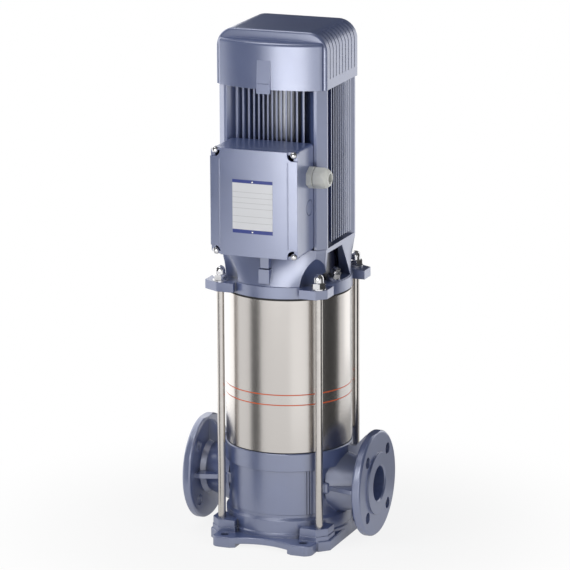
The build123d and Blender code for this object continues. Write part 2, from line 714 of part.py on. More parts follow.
def front_pads():
    """Two upright pads one above the other on the front, parted by a slot."""
    slot = LANTERN_BOTTOM + FRONT_SLOT_LIFT + LANTERN_FLANGE_HEIGHT
    lower = across(make_face(Polyline(
        (0, RING_TOP + FRONT_PAD_LIFT), (-FRONT_PAD_DEPTH, RING_TOP + FRONT_PAD_LIFT),
        (-FRONT_PAD_DEPTH, slot), (0, slot), close=True)), FRONT_PAD_LEFT, FRONT_PAD_RIGHT)
    high = slot + FRONT_SLOT_WIDTH
    upper = across(make_face(Polyline(
        (0, high), (-FRONT_PAD_DEPTH + 1, high), (-FRONT_PAD_DEPTH + 1, LANTERN_TOP),
        (0, LANTERN_TOP), close=True)), FRONT_TAB_LEFT, FRONT_TAB_RIGHT)
    return lower + upper


def window_cutter(side):
    """Tapered opening in the wall of the lantern, for reaching the coupling."""
    low = RING_TOP + WINDOW_BOTTOM
    high = RING_TOP + WINDOW_TOP
    face = make_face(Polyline((-WINDOW_FRONT, low), (WINDOW_REAR_BOTTOM, low),
                              (WINDOW_REAR_TOP, high), (-WINDOW_FRONT, high), close=True))
    turn = WINDOW_ANGLE if side > 0 else WINDOW_ANGLE + 180
    return Rot(0, 0, turn) * across(face, COUPLING_CAVITY_RADIUS / 2, 2 * LUG_HALF)


def nut_pocket(x, y):
    """Domed hollow in the bell that clears a tie rod nut."""
    outline = make_face(Plane.XZ * (Curve() + [
        Line((0, 0), (NUT_POCKET_RADIUS, 0)),
        ThreePointArc((NUT_POCKET_RADIUS, 0), (NUT_POCKET_SHOULDER, NUT_POCKET_SHOULDER_HEIGHT),
                      (NUT_POCKET_TIP, NUT_POCKET_HEIGHT)),
        Line((NUT_POCKET_TIP, NUT_POCKET_HEIGHT), (0, NUT_POCKET_HEIGHT)),
        Line((0, NUT_POCKET_HEIGHT), (0, 0))]))
    return Pos(x, y, LUG_TOP) * revolve(outline, Axis.Z)


def lantern():
    body = disc(LANTERN_FLANGE_RADIUS, LANTERN_BOTTOM, RING_TOP)
    body += on_axis(lantern_lugs(), LUG_BOTTOM, LUG_TOP)
    body += bell_outer()
    body += on_axis(bell_top_plan(), LANTERN_TOP - BELL_TOP_PLATE, LANTERN_TOP)
    body += front_pads()
    cavity = Circle(COUPLING_CAVITY_RADIUS) & Rectangle(
        4 * COUPLING_CAVITY_RADIUS, 2 * (MOTOR_HALF_Y + BELL_TOP_REACH - LANTERN_TOP_WALL))
    body -= on_axis(cavity, HEAD_TOP, LANTERN_TOP - CAVITY_CEILING)
    body -= disc(MOTOR_SPIGOT_RADIUS, HEAD_TOP, LANTERN_TOP + 1)
    body -= disc(SEAL_BORE_RADIUS, LANTERN_BOTTOM - 1, HEAD_TOP + 1)
    for side in (-1, 1):
        body -= window_cutter(side)
    for x, y in RODS:
        body -= nut_pocket(x, y)
        body -= Pos(x, y, LUG_BOTTOM) * Cylinder(ROD_DIAMETER / 2 + ROD_FIT, 3 * LUG_THICKNESS)
    for x, y in on_circle(MOTOR_BOLT_CIRCLE / 2, MOTOR_BOLT_COUNT, 45):
        body -= Pos(x, y, LANTERN_TOP) * Cylinder(MOTOR_BOLT_RADIUS + MOTOR_BOLT_FIT,
                                                  3 * CAVITY_CEILING)
    spigot = BARREL_BORE - SPIGOT_CLEARANCE
    body += ring(spigot, spigot - SPIGOT_WALL, LANTERN_BOTTOM - SPIGOT_HEIGHT, LANTERN_BOTTOM + 1)
    place = fill_plug_place()
    body += place * Pos(0, 0, -FILL_BOSS_ROOT) * extrude(
        Circle(FILL_BOSS_RADIUS), FILL_BOSS_ROOT + FILL_BOSS_HEIGHT)
    return body - place * Cylinder(FILL_HOLE_RADIUS, 4 * HEAD_THICKNESS)


def coupling_guards():
    """Two curved sheets that stand on the pump head behind the windows."""
    sheet = Circle(GUARD_RADIUS) - Circle(GUARD_RADIUS - GUARD_THICKNESS)
    guards = Part()
    for turn in (WINDOW_ANGLE, WINDOW_ANGLE + 180):
        zone = Rot(0, 0, turn) * Pos(GUARD_RADIUS, 0) * Rectangle(
            GUARD_RADIUS, 2 * GUARD_HALF_WIDTH)
        guards += on_axis(sheet & zone, HEAD_TOP, HEAD_TOP + GUARD_HEIGHT)
    return guards


# Fasteners
def hex_prism(flat, height):
    """Hexagonal prism standing on its local origin, turned flat side on."""
    return extrude(RegularPolygon(flat / sqrt(3), 6), height)


def button_head(radius, height):
    """Low domed screw head standing on its local origin."""
    ball = (radius ** 2 + height ** 2) / (2 * height)
    return (Pos(0, 0, height - ball) * Sphere(ball)) & extrude(Circle(2 * radius), height)


def tie_rods():
    rods = Part()
    for x, y in RODS:
        rods += Pos(x, y, BOSS_TOP - ROD_ENGAGEMENT) * extrude(
            Circle(ROD_DIAMETER / 2), ROD_TOP - BOSS_TOP + ROD_ENGAGEMENT)
    return rods


def tie_rod_washers():
    flat = Circle(WASHER_RADIUS) - Circle(ROD_DIAMETER / 2 + ROD_FIT)
    return Part() + [Pos(x, y, LUG_TOP) * extrude(flat, WASHER_THICKNESS) for x, y in RODS]


def acorn_nut():
    """Domed nut with a blind hole, standing on its local origin."""
    radius = NUT_DOME_RADIUS
    straight = NUT_HEIGHT - radius
    dome = revolve(make_face(Plane.XZ * (Curve() + [
        Line((0, 0), (radius, 0)), Line((radius, 0), (radius, straight)),
        CenterArc((0, straight), radius, 0, 90), Line((0, NUT_HEIGHT), (0, 0))])), Axis.Z)
    top = NUT_HEX_HEIGHT
    corner = NUT_FLAT / sqrt(3)
    cone = revolve(make_face(Plane.XZ * Polyline(
        (0, 0), (corner, 0), (corner, top - NUT_HEX_BEVEL_HEIGHT), (corner - NUT_HEX_BEVEL, top),
        (0, top), close=True)), Axis.Z)
    nut = (hex_prism(NUT_FLAT, top) & cone) + dome
    return nut - extrude(Circle(ROD_DIAMETER / 2), NUT_BORE_DEPTH)


def tie_rod_nuts():
    nut = acorn_nut()
    return Part() + [Pos(x, y, LUG_TOP + WASHER_THICKNESS) * nut for x, y in RODS]


def motor_bolts():
    """Hexagon bolts from the lantern up into the motor shield."""
    seat = LANTERN_TOP - CAVITY_CEILING
    bolts = Part()
    for x, y in on_circle(MOTOR_BOLT_CIRCLE / 2, MOTOR_BOLT_COUNT, 45):
        bolts += Pos(x, y, seat - MOTOR_BOLT_HEAD) * hex_prism(MOTOR_BOLT_FLAT, MOTOR_BOLT_HEAD)
        bolts += Pos(x, y, seat) * extrude(
            Circle(MOTOR_BOLT_RADIUS), CAVITY_CEILING + MOTOR_BOLT_ENGAGEMENT)
    return bolts


# Fill plug in the lantern window and drain plug low on the base
def fill_plug_place():
    return (Rot(0, 0, WINDOW_ANGLE) * Pos(FILL_PLUG_RADIUS, 0, RING_TOP)
            * Rot(0, FILL_PLUG_TILT, 0))


def fill_plug():
    plug = extrude(Circle(FILL_BOSS_RADIUS - FILL_PLUG_EDGE), FILL_PLUG_FLANGE)
    plug += Pos(0, 0, FILL_PLUG_FLANGE) * hex_prism(FILL_PLUG_FLAT, FILL_PLUG_HEX)
    plug += Pos(0, 0, -FILL_PLUG_THREAD) * extrude(Circle(FILL_HOLE_RADIUS - PART_FIT),
                                                   FILL_PLUG_THREAD)
    plug -= extrude(Circle(VENT_STEM_RADIUS + RUNNING_FIT), FILL_PLUG_FLANGE + FILL_PLUG_HEX)
    return fill_plug_place() * Pos(0, 0, FILL_BOSS_HEIGHT) * plug


def vent_screw():
    length = FILL_PLUG_FLANGE + FILL_PLUG_HEX + VENT_GAP - VENT_FOOT_GAP
    stem = Pos(0, 0, VENT_FOOT_GAP) * extrude(Circle(VENT_STEM_RADIUS), length)
    head = Pos(0, 0, VENT_FOOT_GAP + length) * hex_prism(VENT_HEAD_FLAT, VENT_HEAD_HEIGHT)
    return fill_plug_place() * Pos(0, 0, FILL_BOSS_HEIGHT) * (stem + head)


def drain_place():
    return Rot(0, 0, DRAIN_ANGLE) * Pos(BODY_RADIUS, 0, DRAIN_HEIGHT) * Rot(0, 90, 0)


def drain_plug():
    head = Pos(0, 0, DRAIN_BOSS_REACH) * hex_prism(DRAIN_FLAT, DRAIN_HEAD)
    stem = Pos(0, 0, DRAIN_BOSS_REACH - DRAIN_STEM) * extrude(
        Circle(DRAIN_RADIUS - PART_FIT), DRAIN_STEM)
    return drain_place() * (head + stem)


# Motor
def fin_plan():
    outline = chamfered_square(MOTOR_HALF_X, MOTOR_HALF_Y, MOTOR_CORNER)
    corner = degrees(atan2(MOTOR_HALF_Y - MOTOR_CORNER / 2, MOTOR_HALF_X - MOTOR_CORNER / 2))
    reach = hypot(MOTOR_HALF_X, MOTOR_HALF_Y)
    fins = []
    for k in range(round(360 / FIN_STEP)):
        angle = (k + 0.5) * FIN_STEP
        folded = min(angle % 180, 180 - angle % 180)
        if abs(folded - corner) > CORNER_BAR_SPREAD:
            fins.append(Rot(0, 0, angle) * Pos(reach / 2, 0) * Rectangle(reach, FIN_THICKNESS))
    return (Sketch() + fins) & outline


def corner_bars():
    x0, y0, c = MOTOR_HALF_X, MOTOR_HALF_Y, MOTOR_CORNER
    inner = FRAME_BORE + FRAME_WALL / 2
    angle = atan2(y0 - c / 2, x0 - c / 2)
    spread = radians(BAR_ROOT_SPREAD)
    bar = make_face(Polyline(
        (x0, y0 - c - BAR_LIP), (x0, y0 - c), (x0 - c, y0), (x0 - c - BAR_LIP, y0),
        (inner * cos(angle + spread), inner * sin(angle + spread)),
        (inner * cos(angle - spread), inner * sin(angle - spread)), close=True))
    across = mirror(bar, Plane.YZ)
    return bar + across + mirror(bar, Plane.XZ) + mirror(across, Plane.XZ)


def motor_frame():
    plan = Circle(FRAME_BORE + FRAME_WALL) + fin_plan() + corner_bars() - Circle(FRAME_BORE)
    body = on_axis(plan, FIN_BOTTOM, MOTOR_FRAME_TOP)
    feet = corner_bars() - Circle(SHIELD_FLANGE_RADIUS + PART_FIT)
    return body + on_axis(feet, LANTERN_TOP, FIN_BOTTOM)


def drive_end_shield():
    seat = BEARING_OUTER_RADIUS + PART_FIT / 2
    body = disc(SHIELD_FLANGE_RADIUS, LANTERN_TOP, FIN_BOTTOM)
    body += disc(MOTOR_SPIGOT_RADIUS - PART_FIT, LANTERN_TOP - SHIELD_SPIGOT, LANTERN_TOP + 1)
    body += disc(FRAME_BORE - PART_FIT, FIN_BOTTOM - 1, FIN_BOTTOM + SHIELD_SPIGOT)
    body += disc(BEARING_HUB_RADIUS, FIN_BOTTOM - 1, LOWER_BEARING + BEARING_WIDTH)
    body -= disc(MOTOR_SHAFT_RADIUS + SHIELD_BORE_CLEARANCE, 0, MOTOR_FRAME_TOP)
    body -= disc(seat, LOWER_BEARING, LOWER_BEARING + BEARING_WIDTH + 1)
    body -= disc(BEARING_RELIEF_RADIUS, LOWER_BEARING - BEARING_RELIEF, LOWER_BEARING + 1)
    for x, y in on_circle(MOTOR_BOLT_CIRCLE / 2, MOTOR_BOLT_COUNT, 45):
        body -= Pos(x, y, LANTERN_TOP) * extrude(
            Circle(MOTOR_BOLT_RADIUS), MOTOR_BOLT_ENGAGEMENT)
    return body


def rear_end_shield():
    seat = BEARING_OUTER_RADIUS + PART_FIT / 2
    top = MOTOR_FRAME_TOP + REAR_SHIELD_THICKNESS
    body = disc(SHIELD_FLANGE_RADIUS, MOTOR_FRAME_TOP, top)
    body += disc(FRAME_BORE - PART_FIT, MOTOR_FRAME_TOP - SHIELD_SPIGOT, MOTOR_FRAME_TOP + 1)
    body += disc(BEARING_HUB_RADIUS, UPPER_BEARING, MOTOR_FRAME_TOP + 1)
    arm_y = 2 * (COVER_FRONT_REACH - COVER_WALL - COVER_FIT)
    arm_x = 2 * (COVER_HALF_X - COVER_WALL - COVER_FIT)
    body += on_axis(Rectangle(COVER_ARM_WIDTH, arm_y) + Rectangle(arm_x, COVER_ARM_WIDTH),
                    MOTOR_FRAME_TOP, top)
    body -= disc(REAR_SHAFT_RADIUS + SHIELD_BORE_CLEARANCE, 0, top + 1)
    upper = UPPER_BEARING + BEARING_WIDTH
    body -= disc(BEARING_RELIEF_RADIUS, UPPER_BEARING, upper + BEARING_RELIEF)
    body -= disc(seat, UPPER_BEARING - 1, upper)
    for place in cover_screw_places():
        body -= place * Cylinder(COVER_SCREW_RADIUS + PART_FIT, 3 * COVER_SCREW_LENGTH)
    return body


def bearing_rings(outer, inner):
    lower = ring(outer, inner, LOWER_BEARING, LOWER_BEARING + BEARING_WIDTH)
    upper = ring(outer, inner, UPPER_BEARING, UPPER_BEARING + BEARING_WIDTH)
    return Part() + [lower, upper]


def stator_core():
    half = STATOR_LENGTH / 2
    return ring(FRAME_BORE - PART_FIT, STATOR_BORE, STATOR_CENTRE - half, STATOR_CENTRE + half)


def stator_windings():
    """Bundled coil ends above and below the core."""
    half = STATOR_LENGTH / 2
    inner = STATOR_BORE + END_WINDING_INNER_GAP
    outer = FRAME_BORE - END_WINDING_OUTER_GAP
    section = Pos((inner + outer) / 2, END_WINDING_LENGTH / 2) * RectangleRounded(
        outer - inner, END_WINDING_LENGTH, END_WINDING_ROUND)
    coil = revolve(Plane.XZ * section, Axis.Z)
    low = STATOR_CENTRE - half - END_WINDING_LENGTH
    return Part() + [Pos(0, 0, low) * coil, Pos(0, 0, STATOR_CENTRE + half) * coil]


def rotor_core():
    half = STATOR_LENGTH / 2
    return ring(STATOR_BORE - AIR_GAP, BEARING_BORE_RADIUS + PART_FIT / 2,
                STATOR_CENTRE - half, STATOR_CENTRE + half)


def motor_shaft():
    bottom = SHAFT_JOINT + SHAFT_END_GAP
    return turned((0, bottom), (MOTOR_SHAFT_RADIUS, bottom), (MOTOR_SHAFT_RADIUS, LOWER_BEARING),
                  (BEARING_BORE_RADIUS, LOWER_BEARING),
                  (BEARING_BORE_RADIUS, UPPER_BEARING + BEARING_WIDTH),
                  (REAR_SHAFT_RADIUS, UPPER_BEARING + BEARING_WIDTH),
                  (REAR_SHAFT_RADIUS, FAN_TOP), (0, FAN_TOP))


def cooling_fan():
    hub = ring(FAN_HUB_RADIUS, REAR_SHAFT_RADIUS + PART_FIT / 2, FAN_BOTTOM, FAN_TOP)
    plate = ring(FAN_RADIUS, FAN_HUB_RADIUS - 1, FAN_BOTTOM, FAN_BOTTOM + FAN_PLATE)
    length = FAN_RADIUS - FAN_HUB_RADIUS
    fan = hub + plate
    blade = Pos(FAN_HUB_RADIUS + length / 2 - 1, 0, 0) * extrude(
        Rectangle(length, FAN_BLADE_THICKNESS), FAN_TOP - FAN_BOTTOM)
    for k in range(FAN_BLADES):
        fan += Pos(0, 0, FAN_BOTTOM) * Rot(0, 0, 360 / FAN_BLADES * k) * blade
    return fan


# Fan cover
def hood(inset, bottom):
    """Arched hood running front to back, drawn that much inside the outside."""
    half = COVER_HALF_X - inset
    outline = make_face(Polyline((-half, bottom), (half, bottom), (half, COVER_TOP - inset),
                                 (-half, COVER_TOP - inset), close=True))
    corners = outline.vertices().group_by(Axis.Y)[-1]
    face = Plane.XZ * fillet(corners, COVER_CORNER - inset)
    front = COVER_HOOD_FRONT - inset
    body = Pos(0, -front, 0) * extrude(face, -(front + COVER_HOOD_BACK - inset))
    ends = [e for end in (0, -1) for e in body.faces().sort_by(Axis.Y)[end].edges()
            if e.center().Z > bottom + 1]
    return fillet(ends, COVER_EDGE_ROUND - inset / 2)


def cover_front(inset, bottom):
    """Rounded belly of the cover, front and back, below a sloping shelf."""
    radius = COVER_FRONT_RADIUS - inset
    reach = COVER_FRONT_REACH - inset
    plan = (Pos(0, reach - radius) * Circle(radius)) & (Pos(0, radius - reach) * Circle(radius))
    plan &= Rectangle(2 * (COVER_FRONT_HALF - inset), 4 * reach)
    plan = fillet(plan.vertices(), COVER_FRONT_CORNER - inset)
    top = COVER_TOP - COVER_SHELF_DROP - inset
    body = on_axis(plan, bottom, top)
    return fillet(body.faces().sort_by(Axis.Z)[-1].edges().filter_by(
        GeomType.CIRCLE), COVER_SHELF_ROUND)


def cover_slots():
    """Air slots over both upper corners, side by side from front to back."""
    middle = (COVER_HOOD_BACK - COVER_HOOD_FRONT) / 2
    width = SLOT_TOP_REACH + COVER_WALL
    slots = Part()
    for k in range(SLOT_COUNT):
        y = middle + (k - (SLOT_COUNT - 1) / 2) * SLOT_PITCH
        for side in (-1, 1):
            slots += Pos(side * (COVER_HALF_X + COVER_WALL - width / 2), y,
                         COVER_TOP - SLOT_HEIGHT / 2 + COVER_WALL) * Box(
                             width, SLOT_WIDTH, SLOT_HEIGHT)
    return slots


def cover_pad():
    """Wedge on the front of the cover, with the hook that holds it below."""
    low = COVER_BOTTOM - COVER_PAD_DROP
    reach = COVER_FRONT_REACH
    wedge = across(make_face(Polyline(
        (-reach + COVER_WALL / 2, low), (-reach - COVER_PAD_DEPTH, low),
        (-reach, low + COVER_PAD_HEIGHT), (-reach + COVER_WALL / 2, low + COVER_PAD_HEIGHT),
        close=True)), COVER_PAD_LEFT, COVER_PAD_RIGHT)
    line = low + COVER_PAD_DROP + COVER_PAD_LINE_LIFT
    groove = Pos((COVER_PAD_LEFT + COVER_PAD_RIGHT) / 2, -reach - COVER_PAD_DEPTH, line) * Box(
        COVER_PAD_RIGHT - COVER_PAD_LEFT - 2 * COVER_WALL, COVER_PAD_DEPTH, COVER_PAD_LINE)
    return wedge - groove


def fan_cover():
    shell = hood(0, COVER_BOTTOM) + cover_front(0, COVER_BOTTOM) + cover_pad()
    low = COVER_BOTTOM - 1
    shell -= hood(COVER_WALL, low)
    shell -= cover_front(COVER_WALL, low)
    for place in cover_screw_places():
        shell -= place * Cylinder(COVER_SCREW_RADIUS + PART_FIT, 3 * COVER_SCREW_LENGTH)
    return shell - cover_slots()


def cover_screw_places():
    """One screw at the back and one on the left; the front hangs on the wedge."""
    return [Pos(0, COVER_FRONT_REACH, COVER_SCREW_Z) * Rot(-90, 0, 0),
            Pos(-COVER_HALF_X, 0, COVER_SCREW_Z) * Rot(0, -90, 0)]


def cover_screws():
    head = button_head(COVER_SCREW_HEAD, COVER_SCREW_DOME)
    stem = Pos(0, 0, -COVER_SCREW_LENGTH) * extrude(Circle(COVER_SCREW_RADIUS),
                                                    COVER_SCREW_LENGTH)
    return Part() + [place * (head + stem) for place in cover_screw_places()]


# Terminal box
def front_slab(half_width, bottom, top, back, front, corner):
    """Upright slab in front of the motor between two distances from the axis."""
    face = Pos(BOX_CENTRE_X, (bottom + top) / 2) * RectangleRounded(
        2 * half_width, top - bottom, corner)
    return Pos(0, -back, 0) * extrude(Plane.XZ * face, front - back)


def terminal_box():
    body = front_slab(BOX_HALF_WIDTH, BOX_BOTTOM, BOX_TOP, BOX_BACK, BOX_FRONT, BOX_CORNER)
    body -= front_slab(BOX_HALF_WIDTH - BOX_WALL, BOX_BOTTOM + BOX_WALL, BOX_TOP - BOX_WALL,
                       BOX_BACK + BOX_WALL, BOX_FRONT + 1, BOX_CORNER - 2)
    for x, z in lid_screw_places():
        body += Pos(x, -BOX_BACK - 1, z) * Rot(90, 0, 0) * extrude(
            Circle(SCREW_POST), BOX_DEPTH - 1)
    for x, z in lid_screw_places():
        body -= Pos(x, -BOX_FRONT, z) * Rot(90, 0, 0) * Cylinder(
            LID_SCREW_RADIUS, 2 * LID_SCREW_GRIP)
    body -= gland_place() * Cylinder(
        GLAND_THREAD / 2, 4 * BOX_WALL)
    recess = Pos(BOX_SIDE, GLAND_Y, KNOCKOUT_Z) * Rot(0, 90, 0)
    groove = Circle(KNOCKOUT_RADIUS) - Circle(KNOCKOUT_RADIUS - KNOCKOUT_GROOVE)
    return body - recess * extrude(groove, KNOCKOUT_DEPTH, both=True)


def lid_screw_places():
    x = BOX_HALF_WIDTH - SCREW_INSET
    levels = (BOX_BOTTOM + SCREW_INSET, BOX_TOP - SCREW_INSET)
    return [(BOX_CENTRE_X + sx * x, z) for sx in (-1, 1) for z in levels]


def box_gasket():
    outer = front_slab(BOX_HALF_WIDTH - 1, BOX_BOTTOM + 1, BOX_TOP - 1, BOX_FRONT,
                       LID_BACK, BOX_CORNER)
    inner = front_slab(BOX_HALF_WIDTH - BOX_WALL, BOX_BOTTOM + BOX_WALL, BOX_TOP - BOX_WALL,
                       BOX_FRONT - 1, LID_BACK + 1, BOX_CORNER - 2)
    gasket = outer - inner
    for x, z in lid_screw_places():
        gasket -= Pos(x, -LID_BACK, z) * Rot(90, 0, 0) * Cylinder(SCREW_POST, 4 * BOX_GASKET)
    return gasket


def crown_circle(extra):
    """Plan circle of the slightly bulging lid front."""
    half = BOX_HALF_WIDTH
    radius = (half ** 2 + LID_CROWN ** 2) / (2 * LID_CROWN)
    return Pos(BOX_CENTRE_X, radius - LID_FRONT) * Circle(radius + extra)


def lid_corner_cut(x, z):
    """Rounded step in a corner of the lid that sinks the screw head."""
    side = 1 if x > BOX_CENTRE_X else -1
    up = 1 if z > PLATE_CENTRE_Z else -1
    block = RectangleRounded(3 * LID_NOTCH, 3 * LID_NOTCH, LID_NOTCH)
    return Pos(x + side * LID_NOTCH / 2, -(LID_BACK + LID_SCREW_SEAT), z + up * LID_NOTCH / 2
               ) * Rot(90, 0, 0) * extrude(block, LID_DEPTH)


def lid_bead(side):
    """Slim raised line beside the plate."""
    sag = LID_CROWN * (LID_BEAD_X / BOX_HALF_WIDTH) ** 2
    front = LID_FRONT - sag + LID_BEAD_HEIGHT
    bead = front_slab(LID_BEAD_WIDTH / 2, BOX_BOTTOM + LID_BEAD_INSET, BOX_TOP - LID_BEAD_INSET,
                      LID_FRONT - LID_CROWN - LID_BEAD_HEIGHT, front, LID_BEAD_WIDTH / 3)
    return Pos(side * LID_BEAD_X, 0, 0) * bead


def terminal_lid():
    body = front_slab(BOX_HALF_WIDTH + LID_OVERHANG, BOX_BOTTOM, BOX_TOP, LID_BACK,
                      LID_FRONT, BOX_CORNER)
    body &= on_axis(crown_circle(0), BOX_BOTTOM - 1, BOX_TOP + 1)
    wall = BOX_WALL + 1
    body -= front_slab(BOX_HALF_WIDTH - wall, BOX_BOTTOM + wall, BOX_TOP - wall,
                       LID_BACK - 1, LID_FRONT - LID_WALL - LID_CROWN, BOX_CORNER)
    for x, z in lid_screw_places():
        body += Pos(x, -LID_BACK, z) * Rot(90, 0, 0) * extrude(
            Circle(SCREW_POST), LID_DEPTH - LID_CROWN)
        body -= lid_corner_cut(x, z)
        body -= Pos(x, -LID_BACK, z) * Rot(90, 0, 0) * Cylinder(
            LID_SCREW_RADIUS + LID_SCREW_FIT, 4 * LID_DEPTH)
    return body + lid_bead(-1) + lid_bead(1)


def lid_screws():
    head = button_head(LID_SCREW_HEAD, LID_SCREW_DOME)
    stem = Pos(0, 0, -LID_SCREW_SEAT - LID_SCREW_GRIP) * extrude(
        Circle(LID_SCREW_RADIUS - PART_FIT), LID_SCREW_SEAT + LID_SCREW_GRIP)
    seat = -(LID_BACK + LID_SCREW_SEAT)
    return Part() + [Pos(x, seat, z) * Rot(90, 0, 0) * (head + stem)
                     for x, z in lid_screw_places()]


def nameplate():
    low = PLATE_CENTRE_Z - PLATE_HEIGHT / 2
    plan = (crown_circle(PLATE_THICKNESS) - crown_circle(0)) & (
        Pos(BOX_CENTRE_X + PLATE_SHIFT, -LID_FRONT) * Rectangle(PLATE_WIDTH, LID_DEPTH))
    return on_axis(plan, low, low + PLATE_HEIGHT)


def terminal_board():
    face = BOX_BACK + BOX_WALL
    board = front_slab(BOARD_HALF_WIDTH, PLATE_CENTRE_Z - BOARD_HALF_HEIGHT,
                       PLATE_CENTRE_Z + BOARD_HALF_HEIGHT, face, face + BOARD_THICKNESS,
                       BOARD_CORNER)
    for x, z in stud_places():
        board -= Pos(x, -face, z) * Rot(90, 0, 0) * Cylinder(STUD_RADIUS, 3 * BOARD_THICKNESS)
    return board


def stud_places():
    return [(BOX_CENTRE_X + x * STUD_PITCH, PLATE_CENTRE_Z + z * STUD_PITCH / 2)
            for x in (-1, 0, 1) for z in (-1, 1)]


def terminal_studs():
    face = BOX_BACK + BOX_WALL
    stud = extrude(Circle(STUD_RADIUS - PART_FIT), STUD_LENGTH)
    stud += Pos(0, 0, BOARD_THICKNESS) * hex_prism(STUD_NUT_FLAT, STUD_RADIUS)
    return Part() + [Pos(x, -face, z) * Rot(90, 0, 0) * stud for x, z in stud_places()]


# Cable gland
def gland_place():
    return Pos(BOX_SIDE, GLAND_Y, GLAND_Z) * Rot(0, 90, 0)


def gland_body():
    body = hex_prism(GLAND_FLAT, GLAND_COLLAR_LENGTH)
    body &= extrude(Circle(GLAND_FLAT / sqrt(3) - GLAND_COLLAR_ROUND), GLAND_COLLAR_LENGTH)
    body += Pos(0, 0, -GLAND_STEM) * extrude(Circle(GLAND_THREAD / 2 - PART_FIT), GLAND_STEM)
    body += Pos(0, 0, GLAND_COLLAR_LENGTH) * extrude(
        Circle(GLAND_NECK_RADIUS), GLAND_NUT_LENGTH * GLAND_NECK_SHARE)
    bore = Pos(0, 0, -GLAND_STEM) * extrude(Circle(GLAND_BORE / 2 + GLAND_SEAL_WALL),
                                            GLAND_STEM + GLAND_COLLAR_LENGTH + GLAND_NUT_LENGTH)
    return gland_place() * (body - bore)


def gland_seal():
    tube = Circle(GLAND_BORE / 2 + GLAND_SEAL_WALL - PART_FIT) - Circle(GLAND_BORE / 2)
    return gland_place() * Pos(0, 0, GLAND_SEAL_LIFT) * extrude(tube, GLAND_SEAL_LENGTH)


def gland_nut():
    """Domed clamping nut with rounded corners."""
    radius = GLAND_FLAT / 2 + GLAND_CORNER_ROUND
    mouth = GLAND_BORE / 2 + GLAND_MOUTH_CLEARANCE
    straight = GLAND_NUT_LENGTH * 0.55
    outline = make_face(Plane.XZ * Polyline(
        (0, 0), (radius, 0), (radius, straight), (radius * 0.9, GLAND_NUT_LENGTH * 0.8),
        (radius * 0.68, GLAND_NUT_LENGTH), (0, GLAND_NUT_LENGTH), close=True))
    nut = revolve(outline, Axis.Z) & hex_prism(GLAND_FLAT, GLAND_NUT_LENGTH)
    nut -= extrude(Circle(GLAND_NECK_RADIUS + PART_FIT), 
                  GLAND_NUT_LENGTH * GLAND_NECK_SHARE + PART_FIT)
    nut -= extrude(Circle(mouth), GLAND_NUT_LENGTH + 1)
    return gland_place() * Pos(0, 0, GLAND_COLLAR_LENGTH + GLAND_NUT_GAP) * nut


# Coupling, shafts and shaft seal
def coupling_half(side):
    body = disc(COUPLING_RADIUS, COUPLING_BOTTOM, COUPLING_TOP)
    body -= disc(PUMP_SHAFT_RADIUS + SHAFT_FIT, 0, COUPLING_TOP + 1)
    body -= disc(MOTOR_SHAFT_RADIUS + SHAFT_FIT, SHAFT_JOINT, COUPLING_TOP + 1)
    cut = 2 * COUPLING_RADIUS
    body -= Pos(0, side * (COUPLING_SPLIT / 2 - cut / 2), SHAFT_JOINT) * Box(
        4 * cut, cut, 4 * COUPLING_TOP)
    for x, z in coupling_screw_places():
        body -= Pos(x, 0, z) * Rot(90, 0, 0) * Cylinder(COUPLING_SCREW + SHAFT_FIT, 4 * cut)
        body -= Pos(x, COUPLING_HEAD_SEAT, z) * Rot(-90, 0, 0) * extrude(
            Circle(COUPLING_HEAD + COUPLING_HEAD_FIT), COUPLING_RADIUS)
    return body


def coupling_screw_places():
    lift = (COUPLING_TOP - COUPLING_BOTTOM) / 4
    middle = (COUPLING_TOP + COUPLING_BOTTOM) / 2
    return [(sx * COUPLING_SCREW_X, middle + sz * lift) for sx in (-1, 1) for sz in (-1, 1)]


def coupling_screws():
    screw = Pos(0, 0, -COUPLING_SCREW_LENGTH) * extrude(
        Circle(COUPLING_SCREW), COUPLING_SCREW_LENGTH)
    screw += extrude(Circle(COUPLING_HEAD), 2 * COUPLING_SCREW)
    return Part() + [Pos(x, COUPLING_HEAD_SEAT, z) * Rot(-90, 0, 0) * screw
                     for x, z in coupling_screw_places()]


def pump_shaft():
    return disc(PUMP_SHAFT_RADIUS, SHAFT_FOOT, SHAFT_JOINT - SHAFT_END_GAP)


def seal_stationary_ring():
    return ring(SEAL_BORE_RADIUS - PART_FIT, SEAL_BACK_RADIUS, SEAL_FACE, HEAD_TOP)


def seal_cover():
    return ring(SEAL_COVER_RADIUS, SEAL_BACK_RADIUS, HEAD_TOP, HEAD_TOP + SEAL_COVER_THICKNESS)


def seal_rotating_ring():
    return ring(SEAL_RING_RADIUS, PUMP_SHAFT_RADIUS + SHAFT_FIT,
                SEAL_FACE - SEAL_RING_LENGTH, SEAL_FACE - RUNNING_FIT)


def seal_bellows():
    """Rubber bellows with two folds that turns with the shaft."""
    top = SEAL_FACE - SEAL_RING_LENGTH
    low = top - SEAL_BELLOWS_LENGTH
    fold = SEAL_BELLOWS_LENGTH / 4
    inner = PUMP_SHAFT_RADIUS + SHAFT_FIT
    thin = inner + SEAL_BELLOWS_WALL
    thick = SEAL_RING_RADIUS - SEAL_BELLOWS_INSET
    return turned((inner, low), (thick, low), (thin, low + fold), (thick, low + 2 * fold),
                  (thin, low + 3 * fold), (thick, top), (inner, top))


# Hydraulic stages
def stage_levels():
    return [STAGES_BOTTOM + k * STAGE_PITCH for k in range(STAGE_COUNT)]


